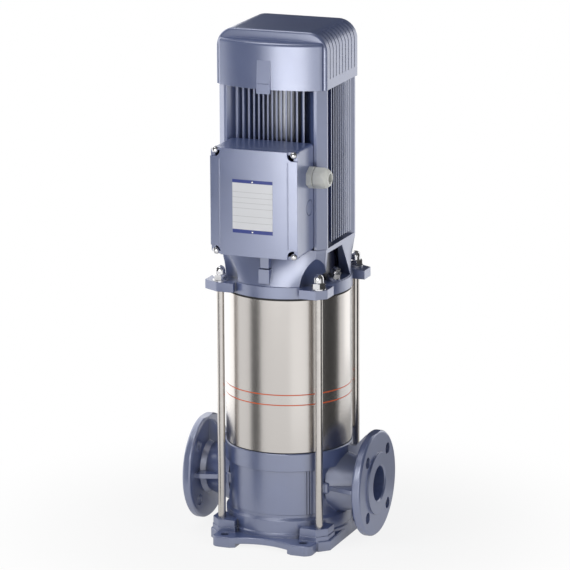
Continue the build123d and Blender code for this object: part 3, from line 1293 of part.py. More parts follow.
def stage_chamber():
    """Bowl of one stage, with the plate and vanes that lead the water inwards."""
    wall = STAGE_RADIUS - STAGE_WALL
    neck = RING_BORE_RADIUS + NECK_RING_THICKNESS
    bowl = ring(STAGE_RADIUS, wall, 0, STAGE_PITCH) + ring(STAGE_RADIUS, neck, 0, STAGE_FLOOR)
    guide = ring(GUIDE_RADIUS, SLEEVE_CLEARANCE_RADIUS, GUIDE_LEVEL,
                 GUIDE_LEVEL + GUIDE_THICKNESS)
    middle = (GUIDE_INNER + wall) / 2
    vane = Pos(middle, 0, GUIDE_LEVEL) * Rot(0, 0, GUIDE_VANE_TURN) * extrude(
        Rectangle(wall - GUIDE_INNER + GUIDE_VANE_OVERLAP, SHROUD_THICKNESS),
        STAGE_PITCH - GUIDE_LEVEL - GUIDE_VANE_GAP)
    vanes = [Rot(0, 0, 360 / GUIDE_VANES * k) * vane for k in range(GUIDE_VANES)]
    return bowl + guide + ((Part() + vanes) & disc(wall + 0.5, 0, STAGE_PITCH))


def stage_chambers():
    bowl = stage_chamber()
    return Part() + [Pos(0, 0, z) * bowl for z in stage_levels()]


def neck_rings():
    band = ring(RING_BORE_RADIUS + NECK_RING_THICKNESS - PART_FIT, RING_BORE_RADIUS, 0,
                STAGE_FLOOR + 1)
    return Part() + [Pos(0, 0, z) * band for z in stage_levels()]


def impeller():
    """Closed wheel: two shrouds, a hub and backward-curved vanes."""
    low = IMPELLER_LIFT
    high = low + IMPELLER_WIDTH
    bore = PUMP_SHAFT_RADIUS + SHAFT_FIT
    wheel = ring(IMPELLER_RADIUS, IMPELLER_EYE_RADIUS, low, low + SHROUD_THICKNESS)
    wheel += ring(RING_BORE_RADIUS - RUNNING_FIT, IMPELLER_EYE_RADIUS, IMPELLER_NECK_GAP,
                  low + SHROUD_THICKNESS)
    wheel += ring(IMPELLER_RADIUS, bore, high - SHROUD_THICKNESS, high)
    wheel += ring(HUB_RADIUS, bore, low, high)
    turn = VANE_CURVE_RADIUS
    arc = Circle(turn) - Circle(turn - VANE_THICKNESS)
    vane = on_axis(Pos(VANE_START, turn) * arc, low + SHROUD_THICKNESS / 2,
                   high - SHROUD_THICKNESS / 2)
    zone = ring(IMPELLER_RADIUS - VANE_TIP_INSET, VANE_START + VANE_ROOT, low, high) & Pos(
        IMPELLER_RADIUS, IMPELLER_RADIUS / 2 + 2, 0) * Box(
        2 * IMPELLER_RADIUS, IMPELLER_RADIUS + 12, 4 * high)
    vane &= zone
    for k in range(IMPELLER_VANES):
        wheel += Rot(0, 0, 360 / IMPELLER_VANES * k) * vane
    return wheel


def impellers():
    wheel = impeller()
    return Part() + [Pos(0, 0, z) * wheel for z in stage_levels()]


def spacer_sleeves():
    low = IMPELLER_LIFT + IMPELLER_WIDTH
    bore = PUMP_SHAFT_RADIUS + SHAFT_FIT
    sleeve = ring(SLEEVE_RADIUS, bore, low, low + STAGE_PITCH - IMPELLER_WIDTH)
    sleeves = [Pos(0, 0, z) * sleeve for z in stage_levels()[:-1]]
    seal_foot = SEAL_FACE - SEAL_RING_LENGTH - SEAL_BELLOWS_LENGTH
    return Part() + sleeves + ring(SLEEVE_RADIUS, bore, stage_levels()[-1] + low, seal_foot)


def inlet_plate():
    """Foot of the stage stack, with a spider that holds the lower bearing bush."""
    eye = RING_BORE_RADIUS + NECK_RING_THICKNESS
    hub = ring(BUSH_RADIUS + BUSH_WALL, BUSH_RADIUS, 0, STACK_BASE_HEIGHT)
    rim = ring(STAGE_RADIUS, eye, 0, STACK_BASE_HEIGHT)
    length = eye + BUSH_WALL / 2 - BUSH_RADIUS
    arm = Pos(BUSH_RADIUS + BUSH_WALL / 2 + length / 2, 0, 0) * extrude(
        Rectangle(length, SPIDER_ARM_WIDTH), STACK_BASE_HEIGHT)
    arms = [Rot(0, 0, 360 / SPIDER_ARMS * k) * arm for k in range(SPIDER_ARMS)]
    return Pos(0, 0, STACK_BOTTOM) * (rim + hub + arms)


def lower_bush():
    return ring(BUSH_RADIUS - PART_FIT / 2, PUMP_SHAFT_RADIUS + RUNNING_FIT, STACK_BOTTOM,
                STAGES_BOTTOM)


def discharge_cage():
    """Slotted sleeve that clamps the stage stack under the pump head."""
    wall = STAGE_RADIUS - STAGE_WALL
    cage = ring(STAGE_RADIUS, wall, STAGES_TOP, LANTERN_BOTTOM)
    cage += ring(wall + 1, SLEEVE_CLEARANCE_RADIUS, STAGES_TOP, STAGES_TOP + CAGE_FLOOR)
    middle = (STAGES_TOP + LANTERN_BOTTOM) / 2
    for k in range(CAGE_PORT_PAIRS):
        cage -= Pos(0, 0, middle) * Rot(0, 0, 180 / CAGE_PORT_PAIRS * k) * Box(
            3 * STAGE_RADIUS, CAGE_PORT_WIDTH, CAGE_PORT_HEIGHT)
    return cage


def shaft_nut():
    nut = Pos(0, 0, SHAFT_FOOT) * hex_prism(SHAFT_NUT_FLAT, SHAFT_NUT_HEIGHT)
    return nut - disc(PUMP_SHAFT_RADIUS + SHAFT_FIT, 0, BASE_TOP)


NODES = {
    "base_casting": base_casting,
    "drain_plug": drain_plug,
    "barrel_lower_seal": lambda: barrel_seal(BASE_TOP, BARREL_BOTTOM),
    "barrel": barrel,
    "barrel_upper_seal": lambda: barrel_seal(BARREL_TOP, LANTERN_BOTTOM),
    "tie_rods": tie_rods,
    "tie_rod_washers": tie_rod_washers,
    "tie_rod_nuts": tie_rod_nuts,
    "inlet_plate": inlet_plate,
    "lower_bush": lower_bush,
    "stage_chambers": stage_chambers,
    "neck_rings": neck_rings,
    "discharge_cage": discharge_cage,
    "pump_shaft": pump_shaft,
    "impellers": impellers,
    "spacer_sleeves": spacer_sleeves,
    "shaft_nut": shaft_nut,
    "seal_bellows": seal_bellows,
    "seal_rotating_ring": seal_rotating_ring,
    "seal_stationary_ring": seal_stationary_ring,
    "seal_cover": seal_cover,
    "lantern": lantern,
    "coupling_guards": coupling_guards,
    "fill_plug": fill_plug,
    "vent_screw": vent_screw,
    "coupling_front_half": lambda: coupling_half(-1),
    "coupling_rear_half": lambda: coupling_half(1),
    "coupling_screws": coupling_screws,
    "motor_bolts": motor_bolts,
    "drive_end_shield": drive_end_shield,
    "motor_frame": motor_frame,
    "stator_core": stator_core,
    "stator_windings": stator_windings,
    "bearing_outer_rings": lambda: bearing_rings(
        BEARING_OUTER_RADIUS, BEARING_OUTER_RADIUS - BEARING_RING),
    "bearing_inner_rings": lambda: bearing_rings(
        BEARING_BORE_RADIUS + BEARING_RING, BEARING_BORE_RADIUS + PART_FIT / 2),
    "rotor_core": rotor_core,
    "motor_shaft": motor_shaft,
    "rear_end_shield": rear_end_shield,
    "cooling_fan": cooling_fan,
    "fan_cover": fan_cover,
    "cover_screws": cover_screws,
    "terminal_box": terminal_box,
    "box_gasket": box_gasket,
    "terminal_lid": terminal_lid,
    "lid_screws": lid_screws,
    "nameplate": nameplate,
    "terminal_board": terminal_board,
    "terminal_studs": terminal_studs,
    "gland_body": gland_body,
    "gland_seal": gland_seal,
    "gland_nut": gland_nut,
}

os.makedirs("parts", exist_ok=True)
for name, build in NODES.items():
    export_step(build(), f"parts/{name}.step")
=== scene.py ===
import math

import bpy
from mathutils import Matrix, Vector


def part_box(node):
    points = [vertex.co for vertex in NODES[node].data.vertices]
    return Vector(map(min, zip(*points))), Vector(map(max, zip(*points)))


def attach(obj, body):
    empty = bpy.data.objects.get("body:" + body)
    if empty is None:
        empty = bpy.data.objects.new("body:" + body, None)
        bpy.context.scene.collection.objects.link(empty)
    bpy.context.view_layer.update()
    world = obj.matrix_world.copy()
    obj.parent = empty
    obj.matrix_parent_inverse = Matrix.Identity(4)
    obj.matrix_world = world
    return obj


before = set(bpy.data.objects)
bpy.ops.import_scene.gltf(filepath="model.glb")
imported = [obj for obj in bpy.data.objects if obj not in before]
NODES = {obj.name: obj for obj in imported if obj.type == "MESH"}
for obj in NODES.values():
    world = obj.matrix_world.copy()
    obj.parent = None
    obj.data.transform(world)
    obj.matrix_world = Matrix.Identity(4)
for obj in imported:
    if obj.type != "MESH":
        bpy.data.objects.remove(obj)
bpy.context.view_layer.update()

bl_info = {
    "name": "Vertical multistage pump",
    "version": (1, 0, 0),
    "blender": (4, 5, 0),
    "location": "View3D > Sidebar > Pump",
    "description": "Finishes, small parts and studio for a vertical multistage pump",
    "category": "Object",
}

PUMP_MIDDLE = Vector((0, 0, 0.4))

# Nameplate: its bands and rules as shares of its height, and half a rule in metres
TOP_BAND = 0.06
BOTTOM_BAND = 0.07
RULE_SHARES = (0.20, 0.32, 0.47, 0.57, 0.67, 0.77)
RULE_HALF_WIDTH = 0.0003

# Rivet: its measures as shares of its radius, and how far it is set into the plate
RIVET_DEPTH = 0.5
RIVET_SHOULDER = (0.35, 0.3)
RIVET_CROWN = (0.3, 0.12)
RIVET_LIFT = 0.1
RIVET_INSET = 1.6
RIVET_SUNK = 0.0005

# Stage, in metres, with the share of white that the surroundings have
FLOOR_SIZE = 12.0
FLOOR_DROP = 0.0004
SURROUND_TONE = 0.8

# Camera fitted to the photograph: angles in degrees, focal length and shift in pixels
PHOTO_SIDE = 570
FOCAL_PIXELS = 3895.3
SHIFT_PIXELS = (-3.424, -4.497)
CAMERA_ANGLES = (21.413, 13.954, 0.238)
CAMERA_DISTANCE = 6.0
SENSOR_WIDTH = 36.0
VIEW_LIMIT = 60.0


# Shader building
class Signal:
    """A value socket of a material. Arithmetic on it adds the Math nodes."""

    def __init__(self, finish, socket):
        self.finish = finish
        self.socket = socket

    def combine(self, operation, left, right):
        return self.finish.add("ShaderNodeMath", {"operation": operation}, {0: left, 1: right})

    def __add__(self, other):
        return self.combine("ADD", self, other)

    def __sub__(self, other):
        return self.combine("SUBTRACT", self, other)

    def __rsub__(self, other):
        return self.combine("SUBTRACT", other, self)

    def __mul__(self, other):
        return self.combine("MULTIPLY", self, other)

    def __lt__(self, other):
        return self.combine("LESS_THAN", self, other)

    def __gt__(self, other):
        return self.combine("GREATER_THAN", self, other)

    def absolute(self):
        return self.combine("ABSOLUTE", self, 0.0)


class Finish:
    """A node material while it is being put together."""

    def __init__(self, name):
        self.material = bpy.data.materials.new(name)
        self.material.use_nodes = True
        self.tree = self.material.node_tree
        self.tree.nodes.clear()

    def add(self, kind, settings=None, inputs=None, output=0):
        """Add a node: its settings first, then the values or links of its sockets."""
        node = self.tree.nodes.new(kind)
        for key, value in (settings or {}).items():
            if key == "stops":
                self.set_stops(node.color_ramp, value)
            else:
                setattr(node, key, value)
        for key, value in (inputs or {}).items():
            if isinstance(value, Signal):
                self.tree.links.new(value.socket, node.inputs[key])
            else:
                node.inputs[key].default_value = value
        return Signal(self, node.outputs[output])

    @staticmethod
    def set_stops(ramp, stops):
        while len(ramp.elements) < len(stops):
            ramp.elements.new(0.5)
        for element, (position, level) in zip(ramp.elements, stops):
            element.position = position
            element.color = (level, level, level, 1)

    def place(self, scale=(1, 1, 1), turn=(0, 0, 0)):
        """Object coordinates, turned and scaled for one pattern."""
        spot = self.add("ShaderNodeTexCoord", output="Object")
        return self.add("ShaderNodeMapping", {"vector_type": "POINT"},
                        {"Vector": spot, "Scale": scale, "Rotation": turn})

    def axis(self, name):
        """One of the object's own coordinates in metres."""
        spot = self.add("ShaderNodeTexCoord", output="Object")
        return self.add("ShaderNodeSeparateXYZ", inputs={"Vector": spot}, output=name)

    def noise(self, scale, detail=2.0, rough=0.5, stretch=(1, 1, 1)):
        return self.add("ShaderNodeTexNoise", inputs={
            "Vector": self.place(stretch), "Scale": scale, "Detail": detail,
            "Roughness": rough})

    def ramp(self, value, *stops):
        return self.add("ShaderNodeValToRGB", {"stops": stops}, {"Fac": value})

    def mix(self, factor, first, second):
        return self.add("ShaderNodeMix", {"data_type": "RGBA"},
                        {"Factor": factor, "A": first, "B": second}, output="Result")

    def soft_edges(self, radius):
        """Normals rounded at the edges, and how strongly each point is turned."""
        rounded = self.add("ShaderNodeBevel", {"samples": 4}, {"Radius": radius})
        true = self.add("ShaderNodeNewGeometry", output="Normal")
        facing = self.add("ShaderNodeVectorMath", {"operation": "DOT_PRODUCT"},
                          {0: rounded, 1: true}, output="Value")
        return rounded, 1.0 - facing

    def bump(self, height, strength, distance, normal=None):
        inputs = {"Height": height, "Strength": strength, "Distance": distance}
        if normal is not None:
            inputs["Normal"] = normal
        return self.add("ShaderNodeBump", inputs=inputs)

    def surface(self, **inputs):
        shader = self.add("ShaderNodeBsdfPrincipled", inputs={
            key.replace("_", " "): value for key, value in inputs.items()}, output="BSDF")
        return self.finished(shader)

    def finished(self, shader):
        """Link the shader to the material's output."""
        output = self.tree.nodes.new("ShaderNodeOutputMaterial")
        self.tree.links.new(shader.socket, output.inputs["Surface"])
        return self.material


class Surroundings(Finish):
    """The world's light, put together like a finish."""

    def __init__(self, name):
        self.world = bpy.data.worlds.new(name)
        self.world.use_nodes = True
        self.tree = self.world.node_tree
        self.tree.nodes.clear()

    def finished(self, shader):
        output = self.tree.nodes.new("ShaderNodeOutputWorld")
        self.tree.links.new(shader.socket, output.inputs["Surface"])
        return self.world


def tone(color, level):
    """A shade of a colour, as a four-part value."""
    return (color[0] * level, color[1] * level, color[2] * level, 1.0)


def plain(color):
    return (color[0], color[1], color[2], 1.0)


# Finishes
def metallic_paint(name, color, grain, peel, edge, painted_shade_reach=0.0):
    """Metallic lacquer. The grain of its orange peel is in millimetres.

    With a reach in metres, painted shade darkens the paint where that much room isn't open.
    """
    f = Finish(name)
    rounded, bend = f.soft_edges(edge)
    cloud = f.ramp(f.noise(9.0, 4.0), (0.3, 0.0), (0.7, 1.0))
    fleck = f.ramp(f.noise(2600.0, 1.0), (0.58, 0.0), (0.75, 1.0))
    base = f.mix(cloud, tone(color, 0.92), tone(color, 1.08))
    base = f.mix(fleck * 0.25, base, tone(color, 2.2))
    # Lighter paint along the turned edges: a painted edge highlight, also standing for light
    # edge wear.
    base = f.mix(bend * 0.45, base, tone(color, 2.0))
    # Painted shade: ambient occlusion mixes the paint towards a darker tone where little room
    # is open.
    if painted_shade_reach:
        open_sky = f.add("ShaderNodeAmbientOcclusion", {"samples": 6}, {"Distance": painted_shade_reach},
                         output="AO")
        base = f.mix(f.ramp(open_sky, (0.2, 1.0), (0.6, 0.0)), base, tone(color, 0.4))
    skin = f.noise(1000.0 / grain, 2.0)
    normal = f.bump(skin, peel, 0.0004, rounded)
    rough = f.noise(35.0, 3.0) * 0.10 + 0.27
    return f.surface(Base_Color=base, Metallic=0.18, IOR=3.2, Roughness=rough, Normal=normal,
                     Coat_Weight=0.25, Coat_Roughness=0.14)


def rolled_steel(name, color, stripe, stripe_levels):
    """Rolled stainless sheet with hair lines round it and two painted stripes."""
    f = Finish(name)
    lines = f.noise(60.0, 3.0, 0.6, (0.6, 0.6, 60.0))
    haze = f.noise(5.0, 3.0)
    base = f.mix(haze, tone(color, 0.93), tone(color, 1.04))
    height = f.axis("Z")
    paint = None
    for low, high in stripe_levels:
        band = (height > low) * (height < high)
        paint = band if paint is None else paint + band
    base = f.mix(paint, base, plain(stripe))
    rough = lines * 0.10 + haze * 0.06 + 0.17
    normal = f.bump(lines, 0.08, 0.0002)
    return f.surface(Base_Color=base, Metallic=1.0 - paint, Roughness=rough, Normal=normal)


def bright_metal(name, color, rough, line_scale, edge=0.0003):
    """Turned or drawn metal with fine lines."""
    f = Finish(name)
    rounded, bend = f.soft_edges(edge)
    lines = f.noise(line_scale, 2.0, 0.5, (0.15, 0.15, 4.0))
    haze = f.noise(80.0, 3.0)
    base = f.mix(haze, tone(color, 0.90), tone(color, 1.05))
    normal = f.bump(lines, 0.08, 0.0002, rounded)
    return f.surface(Base_Color=base, Metallic=1.0, Normal=normal,
                     Roughness=lines * 0.10 + rough + bend * 0.1)


def moulded(name, color, rough, grain=0.8, edge=0.0006):
    """Moulded plastic or rubber with a fine matt grain."""
    f = Finish(name)
    rounded, bend = f.soft_edges(edge)
    cloud = f.noise(40.0, 3.0)
    base = f.mix(cloud, tone(color, 0.88), tone(color, 1.1))
    # Lighter moulding along the turned edges: a painted edge highlight, also standing for
    # light edge wear.
    base = f.mix(bend * 0.3, base, tone(color, 1.35))
    skin = f.noise(1000.0 / grain, 3.0)
    return f.surface(Base_Color=base, Roughness=cloud * 0.15 + rough,
                     Normal=f.bump(skin, 0.15, 0.0003, rounded))


def printed_plate(name, colors, box):
    """Enamel plate with a plain colour band at each end and thin empty rules."""
    f = Finish(name)
    height = f.axis("Z")
    low, high = box[0][2], box[1][2]
    span = high - low
    band = (height > high - TOP_BAND * span) + (height < low + BOTTOM_BAND * span)
    rule = None
    for share in RULE_SHARES:
        middle = low + share * span
        line = (height - middle).absolute() < RULE_HALF_WIDTH
        rule = line if rule is None else rule + line
    haze = f.noise(30.0, 3.0)
    base = f.mix(haze, tone(colors.plate, 0.96), tone(colors.plate, 1.0))
    base = f.mix(rule * 0.5, base, tone(colors.plate, 0.35))
    base = f.mix(band, base, plain(colors.plate_band))
    return f.surface(Base_Color=base, Roughness=haze * 0.1 + 0.3, Metallic=0.0)


def layered_core(name, color):
    """Edges of stacked electrical sheet."""
    f = Finish(name)
    layer = f.add("ShaderNodeTexWave", {"bands_direction": "Z"},
                  {"Vector": f.place(), "Scale": 320.0, "Distortion": 0.4})
    base = f.mix(layer, tone(color, 0.6), tone(color, 1.2))
    return f.surface(Base_Color=base, Metallic=0.8, Roughness=layer * 0.1 + 0.35,
                     Normal=f.bump(layer, 0.3, 0.0003))


def wound_copper(name, color):
    """Varnished copper turns."""
    f = Finish(name)
    turns = f.add("ShaderNodeTexWave", {"bands_direction": "Z"},
                  {"Vector": f.place(turn=(0.15, 0.1, 0)), "Scale": 160.0, "Distortion": 2.5,
                   "Detail": 2.0})
    base = f.mix(turns, tone(color, 0.45), tone(color, 1.25))
    return f.surface(Base_Color=base, Metallic=0.7, Roughness=turns * 0.15 + 0.3,
                     Normal=f.bump(turns, 0.5, 0.0008), Coat_Weight=0.4)


def dress(names, material):
    """Give the named frame nodes one finish."""
    for name in names:
        data = NODES[name].data
        data.materials.clear()
        data.materials.append(material)


# Modelling helpers
def clear_selection():
    if bpy.context.object and bpy.context.object.mode != "OBJECT":
        bpy.ops.object.mode_set(mode="OBJECT")
    bpy.ops.object.select_all(action="DESELECT")


def pick(obj):
    clear_selection()
    obj.select_set(True)
    bpy.context.view_layer.objects.active = obj


def settle(obj, name):
    """Name a piece and move its place into its mesh."""
    pick(obj)
    obj.name = name
    obj.data.name = name
    bpy.ops.object.transform_apply(location=True, rotation=True, scale=True)
    return obj


def select_faces(obj, test):
    """In edit mode, select the faces whose centre and normal pass a test."""
    bpy.ops.object.mode_set(mode="EDIT")
    bpy.ops.mesh.select_mode(type="FACE")
    bpy.ops.mesh.select_all(action="DESELECT")
    bpy.ops.object.mode_set(mode="OBJECT")
    for face in obj.data.polygons:
        face.select = test(face.center, face.normal)
    bpy.ops.object.mode_set(mode="EDIT")


def place_copies(obj, places, name):
    """Copy a piece to each place, join the copies and put them in their mesh."""
    copies = []
    for matrix in places:
        copy = obj.copy()
        copy.data = obj.data.copy()
        copy.matrix_world = matrix
        bpy.context.collection.objects.link(copy)
        copies.append(copy)
    bpy.data.objects.remove(obj)
    clear_selection()
    for copy in copies:
        copy.select_set(True)
    bpy.context.view_layer.objects.active = copies[0]
    if len(copies) > 1:
        bpy.ops.object.join()
    return settle(bpy.context.object, name)


def facing_front(x, y, z):
    """Place and turn for a piece modelled along +Z that has to face the front."""
    return Matrix.Translation((x, y, z)) @ Matrix.Rotation(math.radians(90), 4, "X")


# Values a user may change
class PumpColours(bpy.types.PropertyGroup):
    """Colours of the pump's finishes."""
    paint: bpy.props.FloatVectorProperty(
        name="Paint", description="Metallic lacquer of castings, motor and cover",
        subtype="COLOR", min=0, max=1, default=(0.094, 0.132, 0.300))
    # The coupling guards are real parts; their near-black tone is painted shade inside the
    # lantern's windows.
    guard_and_shade: bpy.props.FloatVectorProperty(
        name="Guard", description="Dark paint of the coupling guards",
        subtype="COLOR", min=0, max=1, default=(0.018, 0.022, 0.055))
    steel: bpy.props.FloatVectorProperty(
        name="Barrel steel", description="Rolled stainless sheet of the barrel",
        subtype="COLOR", min=0, max=1, default=(0.62, 0.59, 0.565))
    chrome: bpy.props.FloatVectorProperty(
        name="Bright steel", description="Rods, dome nuts and screws",
        subtype="COLOR", min=0, max=1, default=(0.74, 0.74, 0.76))
    stripe: bpy.props.FloatVectorProperty(
        name="Stripe", description="Pinstripes round the barrel",
        subtype="COLOR", min=0, max=1, default=(0.72, 0.12, 0.04))
    plate: bpy.props.FloatVectorProperty(
        name="Nameplate", description="Enamel of the bare nameplate",
        subtype="COLOR", min=0, max=1, default=(0.80, 0.81, 0.84))
    plate_band: bpy.props.FloatVectorProperty(
        name="Nameplate band", description="Plain bands of the nameplate",
        subtype="COLOR", min=0, max=1, default=(0.035, 0.055, 0.26))
    gland: bpy.props.FloatVectorProperty(
        name="Gland", description="Moulded cable gland",
        subtype="COLOR", min=0, max=1, default=(0.78, 0.79, 0.75))
    rubber: bpy.props.FloatVectorProperty(
        name="Rubber", description="Seals and gasket",
        subtype="COLOR", min=0, max=1, default=(0.02, 0.02, 0.022))
    floor: bpy.props.FloatVectorProperty(
        name="Floor", description="Studio floor",
        subtype="COLOR", min=0, max=1, default=(0.80, 0.80, 0.80))


class PumpSizes(bpy.types.PropertyGroup):
    """Sizes of the small parts and of the finishes."""
    edge_round: bpy.props.FloatProperty(
        name="Edge rounding", description="Soft edge of the castings",
        subtype="DISTANCE", unit="LENGTH", default=0.0014)
    stripe_width: bpy.props.FloatProperty(
        name="Stripe width", description="Width of each pinstripe",
        subtype="DISTANCE", unit="LENGTH", default=0.0017)
    stripe_height: bpy.props.FloatProperty(
        name="Stripe height",
        description="Height of the lower pinstripe above the barrel's foot",
        subtype="DISTANCE", unit="LENGTH", default=0.075)
    stripe_gap: bpy.props.FloatProperty(
        name="Stripe gap", description="Distance between the pinstripes",
        subtype="DISTANCE", unit="LENGTH", default=0.016)
    rivet_radius: bpy.props.FloatProperty(
        name="Rivet radius", description="Radius of the nameplate rivets",
        subtype="DISTANCE", unit="LENGTH", default=0.0016)
    key_light: bpy.props.FloatProperty(
        name="Key light", description="Power of the large soft lamp at the left",
        unit="POWER", default=20.0)
    fill_light: bpy.props.FloatProperty(
        name="Fill light", description="Power of the soft lamp at the right",
        unit="POWER", default=9.0)
    top_light: bpy.props.FloatProperty(
        name="Top light", description="Power of the soft lamp above",
        unit="POWER", default=5.0)
    sky_level: bpy.props.FloatProperty(
        name="Sky level", description="Strength of the even light from all round",
        default=0.42)
    ceiling_level: bpy.props.FloatProperty(
        name="Ceiling level", description="How light the ceiling looks in bright metal",
        default=0.15)
    dark_card: bpy.props.FloatProperty(
        name="Dark cards", description="How light the dark cards look in bright metal",
        default=0.06)
    bright_card: bpy.props.FloatProperty(
        name="Bright card", description="How light the bright cards look in bright metal",
        default=3.4)


def colours():
    return bpy.context.scene.pump_colours


def sizes():
    return bpy.context.scene.pump_sizes


class PUMP_OT_paint_castings(bpy.types.Operator):
    """Lacquer on the base casting and the lantern"""
    bl_idname = "pump.paint_castings"
    bl_label = "Paint castings"

    def execute(self, context):
        # The last value is the reach of the painted shade that darkens recesses of the base
        # casting and lantern.
        paint = metallic_paint("casting_lacquer", colours().paint, 1.6, 0.16,
                               sizes().edge_round, 0.03)
        dress(["base_casting", "lantern"], paint)
        # Guard paint: real guard sheets, toned near-black as painted shade of the windows.
        guard_and_shade = metallic_paint("guard_lacquer_and_shade", colours().guard_and_shade, 0.8, 0.05, 0.0004)
        dress(["coupling_guards"], guard_and_shade)
        return {"FINISHED"}


class PUMP_OT_paint_motor(bpy.types.Operator):
    """Lacquer on motor frame, shields, fan cover and terminal box"""
    bl_idname = "pump.paint_motor"
    bl_label = "Paint motor"

    def execute(self, context):
        # The last value is the reach of the painted shade that darkens the gaps of the frame
        # and end shields.
        frame_paint = metallic_paint("frame_lacquer", colours().paint, 1.2, 0.10,
                                     0.0008, 0.012)
        dress(["motor_frame", "drive_end_shield", "rear_end_shield"], frame_paint)
        smooth = metallic_paint("cover_lacquer", colours().paint, 0.9, 0.05, 0.0009)
        dress(["fan_cover", "terminal_box", "terminal_lid"], smooth)
        return {"FINISHED"}


class PUMP_OT_finish_barrel(bpy.types.Operator):
    """Rolled steel barrel with two plain pinstripes, and its seals"""
    bl_idname = "pump.finish_barrel"
    bl_label = "Barrel"

    def execute(self, context):
        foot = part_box("barrel")[0][2]
        low = foot + sizes().stripe_height
        width = sizes().stripe_width
        levels = [(low, low + width),
                  (low + sizes().stripe_gap, low + sizes().stripe_gap + width)]
        steel = rolled_steel("rolled_stainless", colours().steel, colours().stripe, levels)
        dress(["barrel"], steel)
        dress(["barrel_lower_seal", "barrel_upper_seal", "box_gasket", "seal_bellows",
               "gland_seal"], moulded("black_rubber", colours().rubber, 0.55))
        return {"FINISHED"}


class PUMP_OT_finish_fasteners(bpy.types.Operator):
    """Bright rods, dome nuts, washers, plugs and screws"""
    bl_idname = "pump.finish_fasteners"
    bl_label = "Fasteners"

    def execute(self, context):
        dress(["tie_rods"], bright_metal("drawn_rod", colours().steel, 0.16, 900.0))
        dress(["tie_rod_nuts", "vent_screw"],
              bright_metal("polished_nut", colours().chrome, 0.08, 500.0))
        dress(["tie_rod_washers", "fill_plug", "drain_plug", "cover_screws", "lid_screws",
               "shaft_nut"], bright_metal("turned_steel", colours().chrome, 0.18, 700.0))
        dress(["motor_bolts", "coupling_screws"],
              bright_metal("blackened_steel", (0.05, 0.05, 0.055), 0.3, 700.0))
        return {"FINISHED"}


class PUMP_OT_finish_insides(bpy.types.Operator):
    """Finishes of shafts, coupling, stages and the inside of the motor"""
    bl_idname = "pump.finish_insides"
    bl_label = "Inner parts"

    def execute(self, context):
        dress(["pump_shaft", "motor_shaft"],
              bright_metal("ground_shaft", (0.60, 0.60, 0.61), 0.16, 1200.0))
        dress(["coupling_front_half", "coupling_rear_half"],
              bright_metal("machined_coupling", (0.33, 0.34, 0.36), 0.3, 300.0, 0.0006))
        dress(["inlet_plate", "stage_chambers", "discharge_cage", "impellers",
               "spacer_sleeves", "seal_cover"],
              bright_metal("pressed_stainless", (0.58, 0.58, 0.59), 0.24, 200.0))
        dress(["lower_bush", "neck_rings", "seal_rotating_ring", "seal_stationary_ring"],
              moulded("dark_ceramic", (0.035, 0.035, 0.04), 0.22, 0.4))
        dress(["bearing_outer_rings", "bearing_inner_rings"],
              bright_metal("bearing_steel", (0.52, 0.52, 0.53), 0.1, 900.0))
        dress(["stator_core", "rotor_core"], layered_core("core_sheet", (0.20, 0.21, 0.23)))
        dress(["stator_windings"], wound_copper("coil_copper", (0.50, 0.19, 0.07)))
        dress(["cooling_fan", "terminal_board"],
              moulded("black_moulding", (0.03, 0.03, 0.033), 0.5))
        dress(["terminal_studs"], bright_metal("plain_brass", (0.62, 0.43, 0.16), 0.2, 500.0))
        return {"FINISHED"}


class PUMP_OT_finish_gland(bpy.types.Operator):
    """Light grey cable gland and the nameplate's enamel"""
    bl_idname = "pump.finish_gland"
    bl_label = "Gland and plate"

    def execute(self, context):
        dress(["gland_body", "gland_nut"],
              moulded("gland_moulding", colours().gland, 0.38, 1.0, 0.0008))
        dress(["nameplate"], printed_plate("plate_enamel", colours(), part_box("nameplate")))
        return {"FINISHED"}


class PUMP_OT_plate_rivets(bpy.types.Operator):
    """Two domed rivets that hold the nameplate"""
    bl_idname = "pump.plate_rivets"
    bl_label = "Plate rivets"

    def execute(self, context):
        radius = sizes().rivet_radius
        clear_selection()
        bpy.ops.mesh.primitive_cylinder_add(vertices=24, radius=radius,
                                            depth=radius * RIVET_DEPTH)
        rivet = bpy.context.object
        select_faces(rivet, lambda centre, normal: normal.z > 0.9)
        for thickness, rise in (RIVET_SHOULDER, RIVET_CROWN):
            bpy.ops.mesh.inset(thickness=radius * thickness, depth=radius * rise)
        bpy.ops.object.mode_set(mode="OBJECT")
        low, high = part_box("nameplate")
        inset = radius * RIVET_INSET
        middle = (low[0] + high[0]) / 2
        front = low[1] + RIVET_SUNK - radius * RIVET_LIFT
        places = [facing_front(middle, front, z)
                  for z in (low[2] + inset, high[2] - inset)]
        rivets = place_copies(rivet, places, "plate_rivets")
        bpy.ops.object.shade_smooth_by_angle(angle=math.radians(35))
        rivets.data.materials.clear()
        rivets.data.materials.append(
            bright_metal("rivet_steel", colours().chrome, 0.15, 900.0))
        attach(rivets, "housing")
        return {"FINISHED"}


